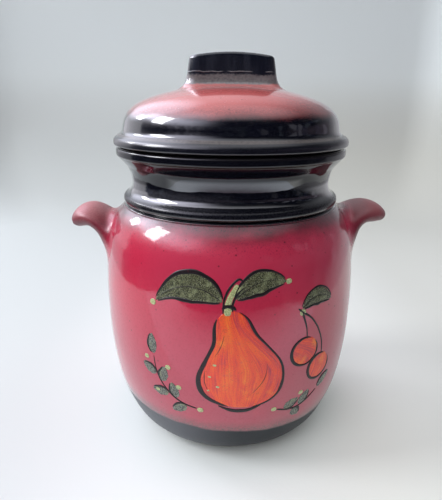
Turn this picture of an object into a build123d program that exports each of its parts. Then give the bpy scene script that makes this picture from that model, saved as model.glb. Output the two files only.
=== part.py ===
from build123d import *
import math
import os

os.makedirs("parts", exist_ok=True)

# Stoneware crock on a foot ring, with a waisted collar, two horn lugs and a
# loose domed lid with a bar knob.
# Millimetres. Z is the pot's axis, z = 0 is the plane the foot ring stands on,
# the lugs lie on -X and +X and the front of the pot faces -Y.

# ---------------------------------------------------------------- driving sizes
TOTAL_HEIGHT = 300.0        # floor to the crown of the knob
BELLY_R = 101.6             # largest radius of the barrel
WALL = 6.0                  # fired wall of the barrel
FLOOR_TOP = 10.0            # height of the inside floor

FOOT_R_OUT = 66.2           # foot ring, unglazed face
FOOT_R_IN = 58.0
FOOT_RECESS = 3.0           # underside inside the foot ring

JOINT_Z = 190.0             # where the collar sits on the barrel
STEP_R = 84.0               # small step ring round the top of the shoulder
GROOVE_R = 81.9             # bottom of the crevice under the collar's bead

COLLAR_BEAD_R = 84.6
WAIST_R = 77.9
LIP_R = 88.8
SEAT_Z = 232.5              # the lip's flat top, which the lid rests on
SEAT_R_IN = 82.2
COLLAR_WALL = 5.7

LID_FOOT_R = 85.7           # flat ring under the lid
LID_HOLLOW_R = 71.0
LID_BEAD_R = 90.2
LID_BEAD_BOTTOM = 234.2
DOME_TOP = 276.0
LID_WALL = 5.8

FLANGE_R_OUT = 76.5         # locating ring that hangs inside the mouth
FLANGE_R_IN = 71.0
FLANGE_DEPTH = 10.0

KNOB_TOP = TOTAL_HEIGHT
KNOB_CROWN_R = 165.0        # radius of the long arc along the knob's top
KNOB_EDGE_R = 2.4


def inset(points, t):
    """Points moved t along the left-hand normal of the line through them."""
    out = []
    for i, (r, z) in enumerate(points):
        r0, z0 = points[max(i - 1, 0)]
        r1, z1 = points[min(i + 1, len(points) - 1)]
        d = math.hypot(r1 - r0, z1 - z0)
        out.append((r - t * (z1 - z0) / d, z + t * (r1 - r0) / d))
    return out


# ---------------------------------------------------------------- barrel
# outer wall, from the foot up to the step ring, (radius, height)
BARREL = [
    (67.4, 0.6), (70.5, 3.0), (75.0, 7.0), (80.4, 12.0), (84.9, 18.0), (88.7, 26.0),
    (93.3, 38.0), (96.4, 50.0), (98.9, 65.0), (100.7, 82.0), (BELLY_R, 105.0),
    (101.3, 130.0), (99.9, 150.0), (97.6, 165.0), (93.8, 176.0), (88.9, 184.0), (84.9, 188.2),
]
# inner wall, the same line one wall thickness in, from the floor's curve to the shoulder
CAVITY = inset(BARREL, WALL)[5:16]

with BuildPart() as pot_body:
    with BuildSketch(Plane.XZ):
        with BuildLine():
            Polyline((0, FOOT_RECESS), (FOOT_R_IN - 1.5, FOOT_RECESS),
                     (FOOT_R_IN, 0), (FOOT_R_OUT, 0), BARREL[0])
            Spline(*BARREL)
            Polyline(BARREL[-1], (STEP_R, 188.3), (STEP_R, 189.3), (STEP_R - 0.6, 189.7),
                     (GROOVE_R, JOINT_Z), (76.3, JOINT_Z))
            Spline((76.3, JOINT_Z), *reversed(CAVITY), (77.6, 17.4), (72.6, 12.6),
                   (66.0, 10.5), (59.0, FLOOR_TOP))
            Polyline((59.0, FLOOR_TOP), (0, FLOOR_TOP), (0, FOOT_RECESS))
        make_face()
    revolve(axis=Axis.Z)

# the barrel as a filled solid, to trim what is luted onto its outside
with BuildPart() as barrel_core:
    with BuildSketch(Plane.XZ):
        with BuildLine():
            Polyline((0, JOINT_Z), (0, 0), (FOOT_R_OUT, 0), BARREL[0])
            Spline(*BARREL)
            Polyline(BARREL[-1], (STEP_R, 188.3), (STEP_R, JOINT_Z), (0, JOINT_Z))
        make_face()
    revolve(axis=Axis.Z)

# ---------------------------------------------------------------- collar
WAIST = [
    (82.9, 197.0), (80.2, 199.2), (78.5, 201.8), (WAIST_R, 205.6), (78.2, 209.7),
    (79.2, 213.7), (80.5, 216.7), (82.2, 219.7), (84.4, 222.7), (86.9, 225.6),
]
BORE = [
    (78.6, 222.5), (76.6, 219.2), (74.6, 215.2), (73.2, 211.0), (72.3, 206.0),
    (72.6, 200.8), (74.2, 195.6),
]
with BuildPart() as neck_collar:
    with BuildSketch(Plane.XZ):
        with BuildLine():
            Polyline((76.3, JOINT_Z), (GROOVE_R, JOINT_Z), (82.3, 190.5), (83.0, 190.7))
            ThreePointArc((83.0, 190.7), (COLLAR_BEAD_R, 193.7), WAIST[0])
            Spline(*WAIST)
            Polyline(WAIST[-1], (87.3, 225.9))
            ThreePointArc((87.3, 225.9), (88.4, 226.8), (LIP_R, 228.2))
            Polyline((LIP_R, 228.2), (LIP_R, 230.6))
            ThreePointArc((LIP_R, 230.6), (88.2, 231.9), (86.9, SEAT_Z))
            Polyline((86.9, SEAT_Z), (SEAT_R_IN, SEAT_Z))
            ThreePointArc((SEAT_R_IN, SEAT_Z), (81.1, 231.9), (80.6, 230.8))
            Spline((80.6, 230.8), (80.1, 226.8), *BORE, (76.3, JOINT_Z))
        make_face()
    revolve(axis=Axis.Z)

# ---------------------------------------------------------------- lid
DOME = [
    (85.3, 242.2), (83.6, 244.6), (82.9, 247.6), (82.3, 250.6), (80.9, 254.6), (78.1, 258.6),
    (73.2, 262.6), (64.9, 266.7), (54.0, 270.3), (43.0, 273.0), (30.0, 275.0), (17.0, 275.8),
    (6.0, DOME_TOP),
]
HOLLOW = [
    (6.0, 270.2), (18.0, 269.9), (30.0, 269.1), (42.0, 267.4), (53.0, 264.7), (63.0, 261.2),
    (70.0, 257.6), (74.2, 253.8), (75.9, 249.6), (76.0, 244.6), (74.6, 239.4), (72.4, 235.0),
    (LID_HOLLOW_R, SEAT_Z),
]
with BuildPart() as lid_dome:
    with BuildSketch(Plane.XZ):
        with BuildLine():
            Polyline((LID_HOLLOW_R, SEAT_Z), (LID_FOOT_R - 0.5, SEAT_Z), (LID_FOOT_R, 233.0),
                     (LID_FOOT_R + 0.3, 233.8), (86.5, LID_BEAD_BOTTOM), (88.7, LID_BEAD_BOTTOM))
            ThreePointArc((88.7, LID_BEAD_BOTTOM), (89.8, 234.6), (LID_BEAD_R, 235.7))
            Spline((LID_BEAD_R, 235.7), (90.15, 237.4), (89.2, 239.5), (87.2, 241.1), DOME[0])
            Spline(*DOME)
            Polyline(DOME[-1], (0, DOME_TOP), (0, HOLLOW[0][1]), HOLLOW[0])
            Spline(*HOLLOW)
        make_face()
    revolve(axis=Axis.Z)

# the dome as a filled solid, to trim the foot of the knob to it
with BuildPart() as dome_core:
    with BuildSketch(Plane.XZ):
        with BuildLine():
            Polyline(DOME[-1], (0, DOME_TOP), (0, 240.0), (85.3, 240.0), DOME[0])
            Spline(*DOME)
        make_face()
    revolve(axis=Axis.Z)

with BuildPart() as lid_flange:
    with BuildSketch(Plane.XY.offset(SEAT_Z - FLANGE_DEPTH)):
        Circle(FLANGE_R_OUT)
        Circle(FLANGE_R_IN, mode=Mode.SUBTRACT)
    extrude(amount=FLANGE_DEPTH)
    chamfer(lid_flange.edges().group_by(Axis.Z)[0], length=1.2)

# the knob's plan at each height: (height, length, width, corner radius)
KNOB = [
    (270.0, 88.0, 46.0, 17.0), (273.0, 80.0, 38.6, 13.5), (276.0, 73.6, 33.0, 10.5),
    (279.0, 69.6, 30.0, 8.8), (283.0, 67.0, 28.6, 7.8), (289.0, 65.0, 27.8, 7.2),
    (296.0, 62.6, 26.8, 6.6), (303.0, 60.0, 25.8, 6.2),
]
with BuildPart() as lid_knob:
    for h, length, width, corner in KNOB:
        with BuildSketch(Plane.XY.offset(h)):
            RectangleRounded(length, width, corner)
    loft()
    # long arc along the top
    with BuildSketch(Plane.XZ):
        with BuildLine():
            ThreePointArc((-50, KNOB_TOP - (KNOB_CROWN_R - math.sqrt(KNOB_CROWN_R**2 - 2500))),
                          (0, KNOB_TOP),
                          (50, KNOB_TOP - (KNOB_CROWN_R - math.sqrt(KNOB_CROWN_R**2 - 2500))))
            Polyline((50, KNOB_TOP - (KNOB_CROWN_R - math.sqrt(KNOB_CROWN_R**2 - 2500))),
                     (50, 260), (-50, 260),
                     (-50, KNOB_TOP - (KNOB_CROWN_R - math.sqrt(KNOB_CROWN_R**2 - 2500))))
        make_face()
    extrude(amount=40, both=True, mode=Mode.INTERSECT)
    fillet(lid_knob.faces().sort_by(Axis.Z)[-1].edges(), radius=KNOB_EDGE_R)
    add(dome_core.part, mode=Mode.SUBTRACT)

# ---------------------------------------------------------------- horn lugs
# Sections along each lug, all across its own centre line:
# (distance from the pot's axis, height, slope of the centre line in degrees,
#  half width along Y, half thickness)
LEFT_HORN = [
    (86.0, 159.6, 36, 34.0, 20.5), (94.2, 165.8, 38, 30.0, 14.2), (99.8, 170.3, 38, 27.0, 9.9),
    (104.6, 174.0, 33, 25.2, 8.5), (109.0, 176.6, 21, 23.9, 8.4), (113.2, 177.6, 2, 22.4, 8.6),
    (117.0, 176.9, -19, 20.4, 8.5), (120.4, 175.1, -32, 17.8, 7.7), (123.2, 173.1, -38, 14.6, 6.4),
    (125.3, 171.4, -40, 10.8, 4.6), (126.6, 170.3, -40, 6.0, 2.4),
]
RIGHT_HORN = [
    (85.6, 160.6, 49, 34.0, 19.0), (93.0, 168.6, 47, 30.0, 13.8), (98.0, 174.0, 41, 27.0, 10.6),
    (102.3, 177.3, 30, 25.2, 9.2), (106.4, 179.2, 17, 23.9, 8.7), (110.8, 180.0, 3, 22.4, 8.7),
    (115.2, 179.8, -8, 20.4, 8.4), (119.4, 178.8, -18, 17.8, 7.6), (122.9, 177.4, -28, 14.6, 6.2),
    (125.4, 175.9, -35, 10.8, 4.4), (126.75, 174.9, -38, 6.0, 2.3),
]


def horn_plane(side, r, z, slope):
    a = math.radians(slope)
    return Plane(origin=(side * r, 0, z), x_dir=(0, 1, 0),
                 z_dir=(side * math.cos(a), 0, math.sin(a)))


with BuildPart() as left_handle:
    for r, z, slope, half_width, half_thick in LEFT_HORN:
        with BuildSketch(horn_plane(-1, r, z, slope)):
            Ellipse(half_width, half_thick)
    loft()
    add(barrel_core.part, mode=Mode.SUBTRACT)

with BuildPart() as right_handle:
    for r, z, slope, half_width, half_thick in RIGHT_HORN:
        with BuildSketch(horn_plane(1, r, z, slope)):
            Ellipse(half_width, half_thick)
    loft()
    add(barrel_core.part, mode=Mode.SUBTRACT)

# ---------------------------------------------------------------- files
pot_body.part.label = "pot_body"
neck_collar.part.label = "neck_collar"
left_handle.part.label = "left_handle"
right_handle.part.label = "right_handle"
lid_dome.part.label = "lid_dome"
lid_flange.part.label = "lid_flange"
lid_knob.part.label = "lid_knob"

export_step(pot_body.part, "parts/pot_body.step")
export_step(neck_collar.part, "parts/neck_collar.step")
export_step(left_handle.part, "parts/left_handle.step")
export_step(right_handle.part, "parts/right_handle.step")
export_step(lid_dome.part, "parts/lid_dome.step")
export_step(lid_flange.part, "parts/lid_flange.step")
export_step(lid_knob.part, "parts/lid_knob.step")
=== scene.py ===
import math

import bmesh
import bpy
import numpy as np
from mathutils import Matrix, Vector


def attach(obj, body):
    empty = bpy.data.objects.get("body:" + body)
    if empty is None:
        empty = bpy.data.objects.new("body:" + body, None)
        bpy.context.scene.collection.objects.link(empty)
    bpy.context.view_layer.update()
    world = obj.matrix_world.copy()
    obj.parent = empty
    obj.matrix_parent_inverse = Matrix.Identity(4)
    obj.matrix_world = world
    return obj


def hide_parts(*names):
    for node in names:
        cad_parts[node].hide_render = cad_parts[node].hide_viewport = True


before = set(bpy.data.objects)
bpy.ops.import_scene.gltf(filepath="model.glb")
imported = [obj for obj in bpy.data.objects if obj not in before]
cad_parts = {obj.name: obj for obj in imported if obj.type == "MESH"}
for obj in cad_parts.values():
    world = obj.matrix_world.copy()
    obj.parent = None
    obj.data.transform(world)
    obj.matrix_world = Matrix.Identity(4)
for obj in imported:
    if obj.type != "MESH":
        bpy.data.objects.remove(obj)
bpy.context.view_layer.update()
scene = bpy.context.scene
scene.view_settings.view_transform = "Standard"
scene.view_settings.look = "None"

MM = 0.001
SEG = 216


# ------------------------------------------------------------------ curves


def spline(points, n=60):
    """Points along the smooth curve through the given points (natural cubic, by chord length)."""
    p = np.array(points, float)
    d = np.r_[0, np.cumsum(np.sqrt((np.diff(p, axis=0) ** 2).sum(1)))]
    return spline_at(d, p, np.linspace(0, d[-1], n))


def spline_at(d, p, t):
    n = len(d)
    h = np.diff(d)
    a = np.zeros((n, n))
    b = np.zeros((n,) + p.shape[1:])
    a[0, 0] = a[-1, -1] = 1
    for i in range(1, n - 1):
        a[i, i - 1], a[i, i], a[i, i + 1] = h[i - 1], 2 * (h[i - 1] + h[i]), h[i]
        b[i] = 6 * ((p[i + 1] - p[i]) / h[i] - (p[i] - p[i - 1]) / h[i - 1])
    m = np.linalg.solve(a, b)
    k = np.clip(np.searchsorted(d, t, side="right") - 1, 0, n - 2)
    hk = h[k]
    u, v = (d[k + 1] - t), (t - d[k])
    sh = (slice(None),) + (None,) * (p.ndim - 1)
    u, v, hk = u[sh], v[sh], hk[sh]
    return (
        m[k] * u**3 / (6 * hk)
        + m[k + 1] * v**3 / (6 * hk)
        + (p[k] / hk - m[k] * hk / 6) * u
        + (p[k + 1] / hk - m[k + 1] * hk / 6) * v
    )


def arc(a, m, b, n=8):
    """Points on the arc through three points."""
    (ax, ay), (bx, by), (cx, cy) = a, m, b
    d = 2 * (ax * (by - cy) + bx * (cy - ay) + cx * (ay - by))
    ux = ((ax**2 + ay**2) * (by - cy) + (bx**2 + by**2) * (cy - ay) + (cx**2 + cy**2) * (ay - by)) / d
    uy = ((ax**2 + ay**2) * (cx - bx) + (bx**2 + by**2) * (ax - cx) + (cx**2 + cy**2) * (bx - ax)) / d
    t0, t1, t2 = (math.atan2(y - uy, x - ux) for x, y in (a, m, b))
    r = math.hypot(ax - ux, ay - uy)
    s1 = (t1 - t0) % (2 * math.pi)
    s2 = (t2 - t0) % (2 * math.pi)
    sweep = s2 if s1 < s2 else s2 - 2 * math.pi
    return np.array([(ux + r * math.cos(t0 + sweep * i / n), uy + r * math.sin(t0 + sweep * i / n)) for i in range(n + 1)])


def path(*runs):
    """One polyline out of runs of points."""
    out = []
    for run in runs:
        for q in np.array(run, float).reshape(-1, 2):
            if not out or np.hypot(*(q - out[-1])) > 1e-6:
                out.append(q)
    return np.array(out)


def soften(p, closed, radius=0.25, keep=5.0):
    """Rounds the corners of a profile (mm) by about the radius and thins out its flat stretches."""
    q = np.vstack([p, p[:1]]) if closed else p
    d = np.r_[0, np.cumsum(np.hypot(*np.diff(q, axis=0).T))]
    n = int(d[-1] / 0.08)
    t = np.linspace(0, d[-1], n + 1)
    s = np.c_[np.interp(t, d, q[:, 0]), np.interp(t, d, q[:, 1])]
    step = d[-1] / n
    w = int(3 * radius / step) + 1
    k = np.exp(-0.5 * (np.arange(-w, w + 1) * step / radius) ** 2)
    k /= k.sum()
    if closed:
        body = s[:-1]
        ext = np.vstack([body[-w:], body, body[:w]])
        out = np.c_[np.convolve(ext[:, 0], k, "valid"), np.convolve(ext[:, 1], k, "valid")]
    else:
        first, last = s[0], s[-1]
        ext = np.vstack([2 * first - s[w:0:-1], s, 2 * last - s[-2 : -w - 2 : -1]])
        out = np.c_[np.convolve(ext[:, 0], k, "valid"), np.convolve(ext[:, 1], k, "valid")]
        out[0], out[-1] = first, last
    g = np.diff(out, axis=0, append=out[:1] if closed else out[-1:])
    ang = np.unwrap(np.arctan2(g[:, 1], g[:, 0]))
    if not closed:
        ang[-1] = ang[-2]
    pick, a0, at = [0], ang[0], 0
    for i in range(1, len(out)):
        if abs(ang[i] - a0) > math.radians(4.0) or (i - at) * step > keep:
            pick.append(i)
            a0, at = ang[i], i
    if not closed and pick[-1] != len(out) - 1:
        pick.append(len(out) - 1)
    return out[pick]


# ------------------------------------------------------------------ meshes


def make_mesh(name, verts_mm, faces, materials, material_of=None, smooth=True):
    """A mesh object from points in millimetres, with its faces turned outward."""
    me = bpy.data.meshes.new(name)
    me.from_pydata([tuple(v) for v in np.array(verts_mm, float) * MM], [], faces)
    me.validate()
    ob = bpy.data.objects.new(name, me)
    scene.collection.objects.link(ob)
    for m in materials:
        me.materials.append(m)
    if material_of is not None:
        me.polygons.foreach_set("material_index", material_of)
    me.polygons.foreach_set("use_smooth", [smooth] * len(me.polygons))
    bm = bmesh.new()
    bm.from_mesh(me)
    bmesh.ops.recalc_face_normals(bm, faces=bm.faces)
    bm.to_mesh(me)
    bm.free()
    me.update()
    return ob


def lathe(name, prof, materials, band_of=None, closed=True, seg=SEG):
    """Turns a profile (r, z in mm) round the axis. A profile that isn't closed runs from the axis to the axis."""
    verts, rings = [], []
    for r, z in prof:
        if r < 1e-4:
            rings.append([len(verts)])
            verts.append((0, 0, z))
        else:
            rings.append(list(range(len(verts), len(verts) + seg)))
            a = np.arange(seg) * 2 * math.pi / seg
            verts += list(np.c_[r * np.cos(a), r * np.sin(a), np.full(seg, z)])
    faces, mats = [], []
    pairs = list(zip(range(len(rings)), range(1, len(rings))))
    if closed:
        pairs.append((len(rings) - 1, 0))
    for i, j in pairs:
        a, b = rings[i], rings[j]
        mid = (np.array(prof[i]) + np.array(prof[j])) / 2
        m = band_of(*mid, i / len(rings)) if band_of else 0
        if len(a) == 1 and len(b) == 1:
            continue
        for k in range(seg):
            n = (k + 1) % seg
            if len(a) == 1:
                faces.append((a[0], b[n], b[k]))
            elif len(b) == 1:
                faces.append((a[k], a[n], b[0]))
            else:
                faces.append((a[k], a[n], b[n], b[k]))
            mats.append(m)
    return make_mesh(name, verts, faces, materials, mats)


def tube(name, loops, materials, pole_a=None, pole_b=None, mats=None):
    """Skin over equal closed loops of points (mm), shut at each end by a point or by a fan to the loop's middle."""
    loops = [np.array(l, float) for l in loops]
    m = len(loops[0])
    verts = [v for l in loops for v in l]
    faces, mi = [], []
    for i in range(len(loops) - 1):
        for k in range(m):
            n = (k + 1) % m
            faces.append((i * m + k, i * m + n, (i + 1) * m + n, (i + 1) * m + k))
            mi.append(mats[i] if mats else 0)
    for end, pole in ((0, pole_a), (len(loops) - 1, pole_b)):
        c = np.array(pole, float) if pole is not None else loops[end].mean(0)
        verts.append(c)
        ci = len(verts) - 1
        for k in range(m):
            n = (k + 1) % m
            faces.append((end * m + n, end * m + k, ci) if end == 0 else (end * m + k, end * m + n, ci))
            mi.append(mats[min(end, len(mats) - 1)] if mats else 0)
    return make_mesh(name, verts, faces, materials, mi)


def match_normals(ob, picked):
    """Sets the surface direction at some corners: picked maps (vertex, test on the face's middle) to a direction."""
    me = ob.data
    per_loop = [(0.0, 0.0, 0.0)] * len(me.loops)
    for poly in me.polygons:
        for li in poly.loop_indices:
            v = me.loops[li].vertex_index
            if v in picked:
                want = picked[v](poly)
                if want is not None:
                    per_loop[li] = tuple(want)
    me.normals_split_custom_set(per_loop)


# ------------------------------------------------------------------ node materials


class Mat:
    def __init__(self, name):
        self.m = bpy.data.materials.new(name)
        self.m.use_nodes = True
        self.t = self.m.node_tree
        self.t.nodes.clear()
        out = self.t.nodes.new("ShaderNodeOutputMaterial")
        self.b = self.t.nodes.new("ShaderNodeBsdfPrincipled")
        self.t.links.new(self.b.outputs["BSDF"], out.inputs["Surface"])
        self.co = self.t.nodes.new("ShaderNodeTexCoord").outputs["Object"]
        s = self.t.nodes.new("ShaderNodeSeparateXYZ")
        self.t.links.new(self.co, s.inputs[0])
        self.x, self.y, self.z = s.outputs

    def put(self, sock, v):
        if isinstance(v, bpy.types.NodeSocket):
            self.t.links.new(v, sock)
        elif isinstance(v, tuple) and len(v) == 3 and sock.type == "RGBA":
            sock.default_value = (*v, 1)
        else:
            sock.default_value = v

    def set(self, **kw):
        for k, v in kw.items():
            self.put(self.b.inputs[k.replace("_", " ")], v)
        return self

    def one_sided(self):
        """Seen from behind, the surface isn't there, so that the pot can be looked at from below."""
        back = self.t.nodes.new("ShaderNodeNewGeometry").outputs["Backfacing"]
        clear = self.t.nodes.new("ShaderNodeBsdfTransparent")
        mx = self.t.nodes.new("ShaderNodeMixShader")
        out = next(n for n in self.t.nodes if n.type == "OUTPUT_MATERIAL")
        self.t.links.new(back, mx.inputs[0])
        self.t.links.new(self.b.outputs["BSDF"], mx.inputs[1])
        self.t.links.new(clear.outputs[0], mx.inputs[2])
        self.t.links.new(mx.outputs[0], out.inputs["Surface"])
        return self.m

    def math(self, op, a, b=0.0, c=None, clamp=False):
        n = self.t.nodes.new("ShaderNodeMath")
        n.operation, n.use_clamp = op, clamp
        self.put(n.inputs[0], a)
        self.put(n.inputs[1], b)
        if c is not None:
            self.put(n.inputs[2], c)
        return n.outputs[0]

    def add(self, a, b):
        return self.math("ADD", a, b)

    def mul(self, a, b):
        return self.math("MULTIPLY", a, b)

    def sub(self, a, b):
        return self.math("SUBTRACT", a, b)

    def step(self, v, lo, hi, kind="SMOOTHSTEP"):
        """0 at lo, 1 at hi, smooth between; lo may be above hi."""
        n = self.t.nodes.new("ShaderNodeMapRange")
        n.interpolation_type = kind
        n.clamp = True
        self.put(n.inputs["Value"], v)
        if lo <= hi:
            n.inputs["From Min"].default_value, n.inputs["From Max"].default_value = lo, hi
            n.inputs["To Min"].default_value, n.inputs["To Max"].default_value = 0, 1
        else:
            n.inputs["From Min"].default_value, n.inputs["From Max"].default_value = hi, lo
            n.inputs["To Min"].default_value, n.inputs["To Max"].default_value = 1, 0
        return n.outputs["Result"]

    def mix(self, f, a, b, blend="MIX"):
        n = self.t.nodes.new("ShaderNodeMix")
        n.data_type, n.blend_type, n.clamp_factor = "RGBA", blend, True
        self.put(n.inputs[0], f)
        self.put(n.inputs[6], a)
        self.put(n.inputs[7], b)
        return n.outputs[2]

    def shift(self, v=(0, 0, 0), scale=(1, 1, 1), rot=(0, 0, 0)):
        n = self.t.nodes.new("ShaderNodeMapping")
        self.put(n.inputs["Vector"], self.co)
        n.inputs["Location"].default_value = v
        n.inputs["Rotation"].default_value = rot
        n.inputs["Scale"].default_value = scale
        return n.outputs[0]

    def noise(self, scale, detail=2.0, rough=0.5, vec=None, distort=0.0):
        n = self.t.nodes.new("ShaderNodeTexNoise")
        self.put(n.inputs["Vector"], vec if vec is not None else self.co)
        n.inputs["Scale"].default_value = scale
        n.inputs["Detail"].default_value = detail
        n.inputs["Roughness"].default_value = rough
        n.inputs["Distortion"].default_value = distort
        return n.outputs["Fac"]

    def cells(self, scale, vec=None, randomness=1.0):
        n = self.t.nodes.new("ShaderNodeTexVoronoi")
        self.put(n.inputs["Vector"], vec if vec is not None else self.co)
        n.inputs["Scale"].default_value = scale
        n.inputs["Randomness"].default_value = randomness
        sep = self.t.nodes.new("ShaderNodeSeparateColor")
        self.t.links.new(n.outputs["Color"], sep.inputs[0])
        return n.outputs["Distance"], sep.outputs[0]

    def combine(self, x, y, z):
        n = self.t.nodes.new("ShaderNodeCombineXYZ")
        for s, v in zip(n.inputs, (x, y, z)):
            self.put(s, v)
        return n.outputs[0]

    def ramp(self, f, stops, kind="LINEAR"):
        n = self.t.nodes.new("ShaderNodeValToRGB")
        n.color_ramp.interpolation = kind
        e = n.color_ramp.elements
        while len(e) < len(stops):
            e.new(0.5)
        for el, (p, c) in zip(e, stops):
            el.position, el.color = p, (*c, 1)
        self.put(n.inputs[0], f)
        return n.outputs[0]

    def bump(self, height, distance, strength=1.0, normal=None):
        n = self.t.nodes.new("ShaderNodeBump")
        n.inputs["Strength"].default_value = strength
        n.inputs["Distance"].default_value = distance
        self.put(n.inputs["Height"], height)
        if normal is not None:
            self.t.links.new(normal, n.inputs["Normal"])
        return n.outputs[0]

    def spray(self, amount, grain, sharp=3.0):
        """A sprayed edge: amount 0..1 turned into grains, none of them at 0 and all of them at 1."""
        g = self.step(grain, 0.28, 0.72, "LINEAR")
        a = self.sub(self.mul(amount, 1 + 1 / sharp), 0.5 / sharp)
        return self.math("ADD", self.mul(self.sub(a, g), sharp), 0.5, clamp=True)


def glaze_bumps(g, wave=0.00010, peel=0.000016, grit=0.000006, ripple=0.00002):
    """Slow waves of the hand-finished wall, ripples, orange peel and fine grit, without the grit and with it."""
    w = g.add(g.noise(34, 1.0, 0.4, g.shift((0.31, 0.12, 0.07))), g.mul(g.noise(150, 1.0, 0.4, g.shift((0.5, 0.3, 0.9))), ripple / wave))
    p = g.noise(420, 2.0, 0.55)
    f = g.noise(1500, 2.0, 0.6)
    n1 = g.bump(w, wave)
    n2 = g.bump(p, peel, normal=n1)
    n3 = g.bump(f, grit, normal=n2)
    return n2, n3


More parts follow.
